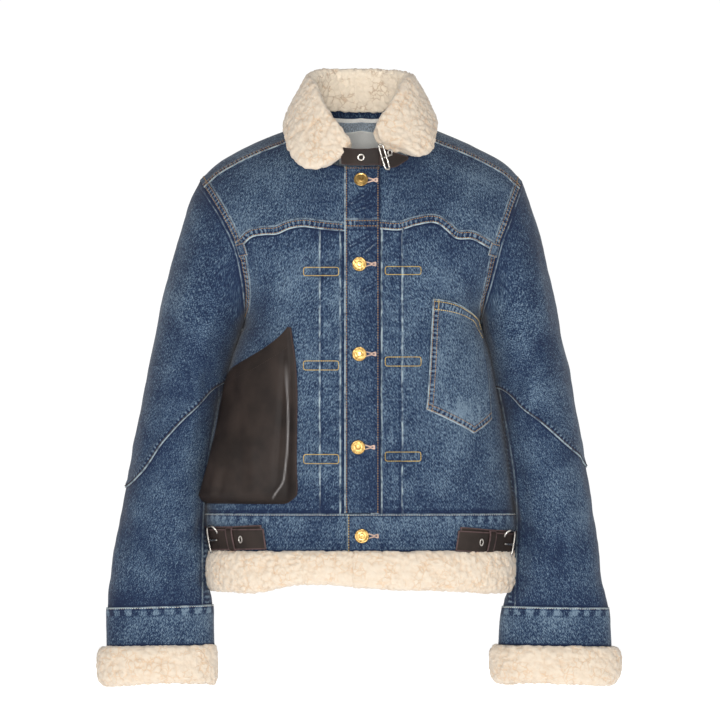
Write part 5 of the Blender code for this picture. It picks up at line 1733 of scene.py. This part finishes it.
buttonLook = {
    "radius": (0.02, 2.2, 3.1, 3.5, 4.2, 5.4, 5.9, 6.4, 7.1, 7.9, 8.5, 8.7, 8.5, 7.6, 5.5, 4.6, 0.02),
    "height": (2.75, 2.7, 2.65, 2.35, 2.4, 2.5, 2.2, 2.25, 2.7, 2.95, 2.5, 1.7, 1.0, 0.5, 0.0, -0.6, -0.6),
    "stand": 3.6,
}
# distance out and height of each button
buttonPlaces = ((0.0, -62.0), (-2.0, -163.0), (-2.0, -272.0), (-3.5, -385.0), (1.0, -493.0))


def makeButtons():
    parts = []
    for out, z in buttonPlaces:
        centre, normal = bodyAt("left", turnAt("left", out, z), z)
        centre = centre + normal * buttonLook["stand"]
        parts.append(turned(centre, normal, buttonLook["radius"], buttonLook["height"]))
    solidFrom("buttons", parts, brass, "brass", ["button_%d" % n for n in range(1, 6)])


def squareLoop(centre, normal, halfWide, halfHigh, count=64, power=0.42):
    across, up = frameOn(normal)
    spin = np.linspace(0, 2 * math.pi, count, endpoint=False)
    wide = np.sign(np.cos(spin)) * np.abs(np.cos(spin)) ** power * halfWide
    high = np.sign(np.sin(spin)) * np.abs(np.sin(spin)) ** power * halfHigh
    return centre + wide[:, None] * across + high[:, None] * up


def eyeletParts(centre, normal, halfWide, halfHigh):
    radius = (0.56, 0.62, 0.74, 0.9, 1.0, 0.98, 0.6, 0.56)
    height = (0.3, 0.75, 0.95, 0.85, 0.3, -0.2, -0.2, 0.3)
    return turned(centre, normal, radius, height, 36, (halfWide, halfHigh))


def makeTabMetal(side, middle, over):
    name = side.capitalize()
    spot, normal = bodyAt(side, turnAt(side, 143.0, middle), middle)
    spot = tabShift(side, spot + normal * (over + 0.6))
    solidFrom("tabEyelet" + name, [eyeletParts(spot, normal, 2.9, 4.9)], silver, "silver",
              ["tab_eyelet_" + side])
    centre, normal = bodyAt(side, turnAt(side, 174.0, middle), middle)
    centre = tabShift(side, centre + normal * (over + 2.4))
    loop = squareLoop(centre, normal, 9.0, 17.5, power=0.55)
    # the inner bar lies inside the folded strap
    inward = -sideSign[side] * (loop[:, 0] - centre[0])
    loop = loop - normal * 8.0 * ease(-1.0, 7.0, inward)[:, None]
    flat = np.broadcast_to(normal, loop.shape)
    parts = [barLoop(loop, flat, 1.55, 1.3)]
    turns = np.linspace(float(turnAt(side, 169.0, middle)), float(turnAt(side, 181.5, middle)), 14)
    pin, pinNormals = bodyAt(side, turns, np.full(turns.shape, middle))
    pin = tabShift(side, raised(pin, pinNormals, over + 1.6 + 1.6 * (np.arange(14) / 13.0)))
    parts.append(barLoop(pin, pinNormals, 1.1, 0.8, closed=False))
    solidFrom("tabBuckle" + name, parts, silver, "silver", ["tab_buckle_" + side, "tab_pin_" + side])


# ---- chin strap --------------------------------------------------------------------------

chin = {"out": (-24, -8, 8, 23, 38, 56), "ahead": (-103, -111, -114, -112, -106, -96),
        "top": (-21, -23, -23, -22, -27, -32), "foot": (-42, -43, -43, -43, -46, -36), "wall": 2.0}


def chinGrid(low, high, columns, lift):
    out = np.linspace(low, high, columns)
    ahead = curve(chin["out"], chin["ahead"])(out)
    top, foot = curve(chin["out"], chin["top"])(out), curve(chin["out"], chin["foot"])(out)
    rise = np.linspace(0, 1, 14)[:, None]
    z = foot + (top - foot) * rise
    slope = np.gradient(ahead, out)
    normals = unit(np.stack([slope, -np.ones(columns), 0 * slope], axis=-1))
    points = np.stack(np.broadcast_arrays(out[None, :], ahead[None, :], z), axis=-1)
    normals = np.broadcast_to(normals, points.shape).copy()
    pillow = 0.5 * (1 - (2 * rise - 1) ** 2)
    return raised(points, normals, lift + pillow), normals


def makeChinStrap():
    points, normals = chinGrid(-24.0, 30.0, 40, 0.0)
    strapPiece("chinStrap", points, normals, chin["wall"], ["chin_strap"])
    points, normals = chinGrid(22.0, 56.0, 34, 2.6)
    strapPiece("chinStrapEnd", points, normals, chin["wall"], ["chin_strap_end"])
    front = np.array([0.0, -1.0, 0.0])
    slanted = unit(np.array([0.36, -1.0, 0.0]))
    parts = [eyeletParts(np.array([0.0, -114.9, -33.5]), front, 4.5, 4.5),
             eyeletParts(np.array([35.0, -111.6, -27.5]), slanted, 3.4, 4.2)]
    solidFrom("chinEyelets", parts, silver, "silver", ["chin_eyelet_1", "chin_eyelet_2"])
    facing = unit(np.array([0.30, -1.0, 0.0]))
    loop = squareLoop(np.array([28.0, -114.6, -33.0]), facing, 3.0, 15.0)
    loop[:, 0] -= 0.30 * (loop[:, 2] + 33.0)
    flat = np.broadcast_to(facing, loop.shape)
    pin = np.stack([np.linspace(27.5, 38.0, 12), np.linspace(-114.9, -111.6, 12),
                    np.linspace(-34.0, -30.0, 12)], axis=-1)
    parts = [barLoop(loop, flat, 1.15, 1.1),
             barLoop(pin, np.broadcast_to(facing, pin.shape), 0.95, 0.8, closed=False)]
    solidFrom("chinBuckle", parts, silver, "silver", ["chin_buckle"])


# ---- neck: stand, tape and blank label ----------------------------------------------------

def neckStrip(name, material, low, high, first, last, inward, wall, nodes, slotName):
    # a band of even height that follows the neck seam on its inner side
    turns = np.linspace(first, last, 120)
    right, left = (neckPoint(side, 180.0 - np.abs(turns)) for side in sideSign)
    spots = np.where((turns < 0)[:, None], right, left)
    flat = towardsNeck(spots)
    rise = np.linspace(low, high, 10)[:, None, None] * np.array([0, 0, 1.0])
    points = spots[None] + flat[None] * (inward + wall) + rise
    normals = np.broadcast_to(flat, points.shape).copy()
    points = raised(points, normals, 0.35 * softNoise(points, 12.0, 91))
    values = clothValues(points)
    layCloth(name, points, normals, values, nodes, wall=wall, sides=(material, material),
             slotName=slotName)


def makeLabel():
    out = np.linspace(-27.0, 27.0, 28)[None, :]
    high, low = (float(leanAtHeight("left", np.array([0.1]), z)[0]) for z in (1.0, -36.0))
    lean = np.linspace(high, low, 24)[:, None]
    points = topPoint("left", out + 0 * lean, lean + 0 * out)
    normals = topNormal("left", out + 0 * lean, lean + 0 * out)
    points = points - normals * (2.0 + 0.25 * softNoise(points, 14.0, 95))[..., None]
    layCloth("neckLabel", points, -normals, {}, ["neck_label"], wall=0.7,
             sides=(labelCloth, labelCloth), slotName="label")


def makeSeamPatch(side):
    # the small square that covers the crossing of yoke seam and armhole seam
    z = np.linspace(-152.8, -137.4, 12)[:, None] + np.linspace(1.2, -1.2, 10)[None, :]
    out = armholeOut[side](z) - np.linspace(10.8, 0.3, 10)[None, :]
    points, normals = bodyAt(side, turnAt(side, out, z), z)
    points = points + normals * 3.1
    values = clothValues(points, edges=rimsOf(points))
    values["edge"] = values["edge"] + 0.9
    layCloth("seamPatch" + side.capitalize(), points, normals, values, ["yoke_front_" + side],
             wall=0.9, sides=(denimCuff, denimReverse))


makeChestPocket()
makeSeamPatch("right")
makeSeamPatch("left")
makePouch()
for side in sideSign:
    makeTabMetal(side, *makeTabs(side))
makeButtons()
makeChinStrap()
neckStrip("collarStand", innerDenim, 1.2, 12.6, -148.0, 132.0, 1.6, 1.4, ["collar_stand"],
          "denim")
neckStrip("neckTape", tapeCloth, -1.6, 3.2, -70.0, 70.0, 3.9, 0.8, ["neck_tape"], "label")
makeLabel()
print("details made")

# ---- sewing ---------------------------------------------------------------------------

stitchRadius, stitchSink = 0.52, 0.18
sewn = {key: [] for key in threads}


def dropLine(name, drop):
    # a line straight below the upper edge, found along each column of the piece's grid
    points, normals = grids[name]
    heights = points[..., 2]

    def at(part):
        return np.array([[np.interp(heights[-1, i] - drop, heights[:, i], part[:, i, k]) for k in (0, 1, 2)]
                         for i in range(1, part.shape[1] - 1)])
    return at(points), unit(at(normals))


def offsetLine(name, edge, distance):
    # a line on a piece's own cloth at a distance from one of its edges
    points, normals = grids[name]
    if edge in ("first", "last"):
        points, normals = points.transpose(1, 0, 2), normals.transpose(1, 0, 2)
    if edge in ("high", "last"):
        points, normals = points[::-1], normals[::-1]
    tangent = unit(np.gradient(points[0], axis=0))
    ahead = unit(points[3] - points[0])
    slant = np.maximum(np.linalg.norm(np.cross(ahead, tangent), axis=-1), 0.4)
    run = np.cumsum(np.linalg.norm(np.diff(points, axis=0), axis=-1), axis=0)
    run = np.concatenate([0 * run[:1], run])
    want = distance / slant
    i = np.clip(np.sum(run < want[None, :], axis=0) - 1, 0, len(run) - 2)
    j = np.arange(points.shape[1])
    t = ((want - run[i, j]) / (run[i + 1, j] - run[i, j]))[:, None]
    line, facing = (part[i, j] * (1 - t) + part[i + 1, j] * t for part in (points, normals))
    return line, unit(facing)


def sew(key, points, normals, pitch=3.1, radius=stitchRadius, fill=0.72, keepIf=None):
    # short threads at even steps along a line
    run = runAlong(points)
    count = max(1, int(run[-1] / pitch))
    starts = (np.arange(count) + 0.5 * (1 - fill)) * (run[-1] / count)

    def at(places):
        spots = np.stack([np.interp(places, run, points[:, k]) for k in range(3)], axis=-1)
        facing = np.stack([np.interp(places, run, normals[:, k]) for k in range(3)], axis=-1)
        return spots, unit(facing)
    a, facingA = at(starts)
    b, facingB = at(starts + fill * run[-1] / count)
    if keepIf is not None:
        chosen = keepIf(a)
        a, b, facingA, facingB = a[chosen], b[chosen], facingA[chosen], facingB[chosen]
    sewn[key].append((a, b, unit(facingA + facingB), np.full(len(a), radius)))


def makeThreads(key):
    # each stitch is three small rings: sunk at both ends, proud in the middle
    a, b, facing, radius = (np.concatenate([part[k] for part in sewn[key]]) for k in range(4))
    ahead = unit(b - a)
    side = np.cross(ahead, facing)
    size = radius[:, None]
    rings = []
    for centre, scale, lift in ((a, 0.5, -stitchSink), ((a + b) / 2, 1.0, 0.25), (b, 0.5, -stitchSink)):
        middle = centre + facing * (lift * size / stitchRadius)
        rings.append(np.stack([middle + side * size * scale, middle + facing * size * scale * 0.8,
                               middle - side * size * scale, middle - facing * size * scale * 0.8], axis=1))
    points = np.stack(rings, axis=1).reshape(-1, 3)
    one = [(ring + k, ring + (k + 1) % 4, ring + 4 + (k + 1) % 4, ring + 4 + k)
           for ring in (0, 4) for k in range(4)]
    one += [(3, 2, 1, 0), (8, 9, 10, 11)]
    quads = (np.array(one)[None] + 12 * np.arange(len(a))[:, None, None]).reshape(-1, 4)
    if volumeOf(points - points.mean(axis=0), quads) < 0:
        quads = quads[:, ::-1]
    piece = meshFrom("sewing" + key.capitalize(), points, quads, [threads[key]])
    keep(piece, "leather" if key == "dark" else "denim", [])
    print("stitches", key, len(a))


def onFront(side, out, z, lift):
    # places on the front panel's own surface
    out, z = np.asarray(out, float), np.asarray(z, float)
    points, normals = bodyAt(side, turnAt(side, out, z), z)
    return raised(points, normals, frontRelief(side, points) + lift), normals


def boxLine(side, low, high, top, foot):
    # a rectangle with rounded corners, as a closed line
    corner, line = 2.0, []
    for cx, cz, start in ((high - corner, top - corner, 0.0), (low + corner, top - corner, 0.5),
                          (low + corner, foot + corner, 1.0), (high - corner, foot + corner, 1.5)):
        turn = (start + np.linspace(0, 0.5, 6)) * math.pi
        line.append(np.stack([cx + corner * np.cos(turn), cz + corner * np.sin(turn)], axis=-1))
    line = np.concatenate(line + [line[0][:1]])
    run = runAlong(line)
    fine = np.linspace(0, run[-1], 90)
    return onFront(side, np.interp(fine, run, line[:, 0]), np.interp(fine, run, line[:, 1]), 0.35)


# boxes sewn across the pleats: side, low and high distance out, top and foot height
boxes = (("right", 27.0, 69.5, -167.0, -177.0), ("right", 27.0, 69.5, -280.5, -291.5),
         ("right", 27.0, 69.5, -394.0, -405.0), ("left", 29.3, 72.6, -166.0, -175.7),
         ("left", 29.3, 72.6, -275.7, -286.7), ("left", 29.3, 72.6, -391.0, -402.0))


def sewEdge(key, name, edge, gap, **look):
    sew(key, *offsetLine(name, edge, gap), **look)


def abovePit(places):
    return places[:, 2] > armpit


def sewEverything():
    for side in sideSign:
        name = side.capitalize()
        for gap in (1.9, 8.1):
            sewEdge("brown", "frontYoke" + name, "low", gap, keepIf=lambda a: np.abs(a[:, 0]) > 21)
        for gap in (1.4, 6.4):
            sewEdge("brown", "frontPanel" + name, "last", gap, keepIf=abovePit)
            sewEdge("brown", "frontYoke" + name, "last", gap)
        # one row round the back of the armhole
        outer = "first" if side == "right" else "last"
        sewEdge("brown", "backYoke", outer, 6.4)
        sewEdge("brown", "backPanel", outer, 6.4, keepIf=abovePit)
        for edge in ("low", "high", "first"):
            sewEdge("brown", "seamPatch" + name, edge, 1.5, pitch=2.4)
        cuffSeamLine = [closedRing(part) for part in offsetLine("cuff" + name, "low", 1.7)]
        sew("white", *cuffSeamLine, radius=0.36)
        # a dark thread row along the elbow seam's front, sewn almost unbroken, which also stands in as
        # painted shade in the seam's groove
        sewEdge("dark", "sleeveUpper" + name, "high", 2.3, pitch=2.6, radius=0.78, fill=0.98,
                keepIf=lambda a: a[:, 1] < 5)
        sewEdge("white", "waistband" + name, "high", 1.6, radius=0.36)
    for gap in (1.9, 8.1):
        sewEdge("brown", "backYoke", "high", gap)
    for gap in (1.8, 6.0):
        sewEdge("brown", "backYoke", "low", gap, keepIf=lambda a: np.abs(a[:, 0]) > 75)
    sewEdge("beige", "waistbandBack", "high", 1.6)
    sewEdge("gold", "waistbandLeft", "first", 2.2)
    for edge, gap in (("first", 2.6), ("last", 2.6), ("high", 3.0)):
        sewEdge("brown", "placketStrip", edge, gap)
    out = np.linspace(placketFree + 0.6, placketSewn - 0.6, 30)
    for rise in (1.9, 8.1):
        sew("brown", *placketSurface(placketSeam + rise + 0 * out, out, 0.3))
    for gap, drop in ((1.9, 2.9), (7.4, 12.8)):
        sew("gold", *dropLine("chestPocket", drop), pitch=2.7, radius=0.62)
        for edge in ("first", "low"):
            sewEdge("brown", "chestPocket", edge, gap, pitch=2.6, radius=0.56)
    sewEdge("gold", "chestPocket", "first", 7.4, pitch=2.4, radius=0.7, keepIf=lambda a: a[:, 2] > -219)
    for side, low, high, top, foot in boxes:
        sew("gold", *boxLine(side, low, high, top, foot), pitch=2.3, fill=0.92, radius=0.62)
    sewEdge("dark", "leatherPouch", "high", 15.5, pitch=2.6, radius=0.3)
    sewEdge("dark", "leatherPouch", "first", 1.6, pitch=2.4, radius=0.36)
    sewEdge("white", "neckLabel", "low", 2.0, pitch=2.2, radius=0.25)
    for out, z in buttonPlaces:
        sewButtonhole(out, z)


def overlapSurface(out, z, lift):
    # the placket's face, or below it the waistband's lapped end
    if float(np.mean(z)) > waistSeam:
        return placketSurface(z, out, lift)
    points, normals = bodyAt("left", turnAt("left", out, z), z)
    return raised(points, normals, bandProud + lapOver(out) + lift), normals


def sewButtonhole(out, z):
    # close threads across a slit that narrows to a bar beyond the button
    along = np.arange(5.5, 19.5, 0.62)
    half = 3.5 - 2.7 * np.clip((along - 5.5) / 9.0, 0, 1) + 1.3 * np.clip((along - 15.0) / 4.0, 0, 1)
    bar = np.linspace(-1.9, 1.9, 8)
    rows = [(along, way * (half - 0.9), along + 0.2, way * (half + 0.8), 0.35, 0.55) for way in (-1.0, 1.0)]
    rows.append((18.2 + 0 * bar, bar, 20.6 + 0 * bar, bar, 0.6, 0.42))
    for startOut, startUp, endOut, endUp, lift, radius in rows:
        a, facing = overlapSurface(out + startOut, z + startUp, lift)
        b, _ = overlapSurface(out + endOut, z + endUp, lift)
        sewn["beige"].append((a, b, facing, np.full(len(a), radius)))


sewEverything()
for threadKey in threads:
    makeThreads(threadKey)

# ---- light, floor and camera ---------------------------------------------------------

def makeStage():
    # a pale floor just under the jacket
    corners = [(-6.0, -6.0, -0.72), (6.0, -6.0, -0.72), (6.0, 6.0, -0.72), (-6.0, 6.0, -0.72)]
    mesh = bpy.data.meshes.new("floor")
    mesh.from_pydata(corners, [], [(0, 1, 2, 3)])
    made = finishMaterial(startMaterial("floor")[0], {
        "Base Color": (0.93, 0.93, 0.93), "Roughness": 0.9, "Emission Color": (1.0, 1.0, 1.0),
        "Emission Strength": 0.70})
    mesh.materials.append(made)
    addObject("floor", mesh)


def makeWorld():
    # soft light from all around; looked at directly it is plain white
    world = bpy.data.worlds.new("world")
    bpy.context.scene.world = world
    world.use_nodes = True
    tree = world.node_tree
    shader = tree.nodes["Background"]
    feed(shader.inputs["Color"], (1.0, 1.0, 1.0))
    seen = Flow(newNode(tree, "LightPath").outputs["Is Camera Ray"])
    feed(shader.inputs["Strength"], maths("MULTIPLY_ADD", seen, 0.70, 0.33))


def addLight(name, place, aim, size, power):
    data = bpy.data.lights.new(name, "AREA")
    data.shape = "RECTANGLE"
    data.size = size[0]
    data.size_y = size[1]
    data.energy = power
    x, y, z = (aim[i] - place[i] for i in (0, 1, 2))
    turn = (math.pi / 2 + math.atan2(z, math.hypot(x, y)), 0.0, math.atan2(-x, y))
    addObject(name, data, place, turn)


def makeCamera():
    data = bpy.data.cameras.new("camera")
    data.lens = 819.7
    data.sensor_width = 36.0
    data.clip_end = 60.0
    bpy.context.scene.camera = addObject("camera", data, (-0.00122, -20.0, -0.2794), (math.pi / 2, 0.0, 0.0))


bpy.context.scene.view_settings.view_transform = "Standard"
makeStage()
addLight("keyLight", (-1.5, -3.0, 0.75), (0, 0, -0.25), (1.6, 1.6), 19.0)
addLight("frontLight", (0.0, -5.0, -0.085), (0, 0, -0.25), (0.6, 0.6), 82.0)
addLight("glossLight", (-0.5, -5.0, -0.2), (0, 0, -0.4), (0.4, 1.0), 20.0)
addLight("fillLight", (1.9, -2.4, 0.4), (0, 0, -0.3), (1.6, 2.0), 10.0)
addLight("backLight", (0.4, 4.0, 0.9), (0, 0, -0.3), (1.6, 1.6), 24.0)
addLight("topLight", (0.0, -0.4, 2.2), (0, 0, -0.2), (2.0, 1.6), 3.0)
makeWorld()
makeCamera()
print("stage made")
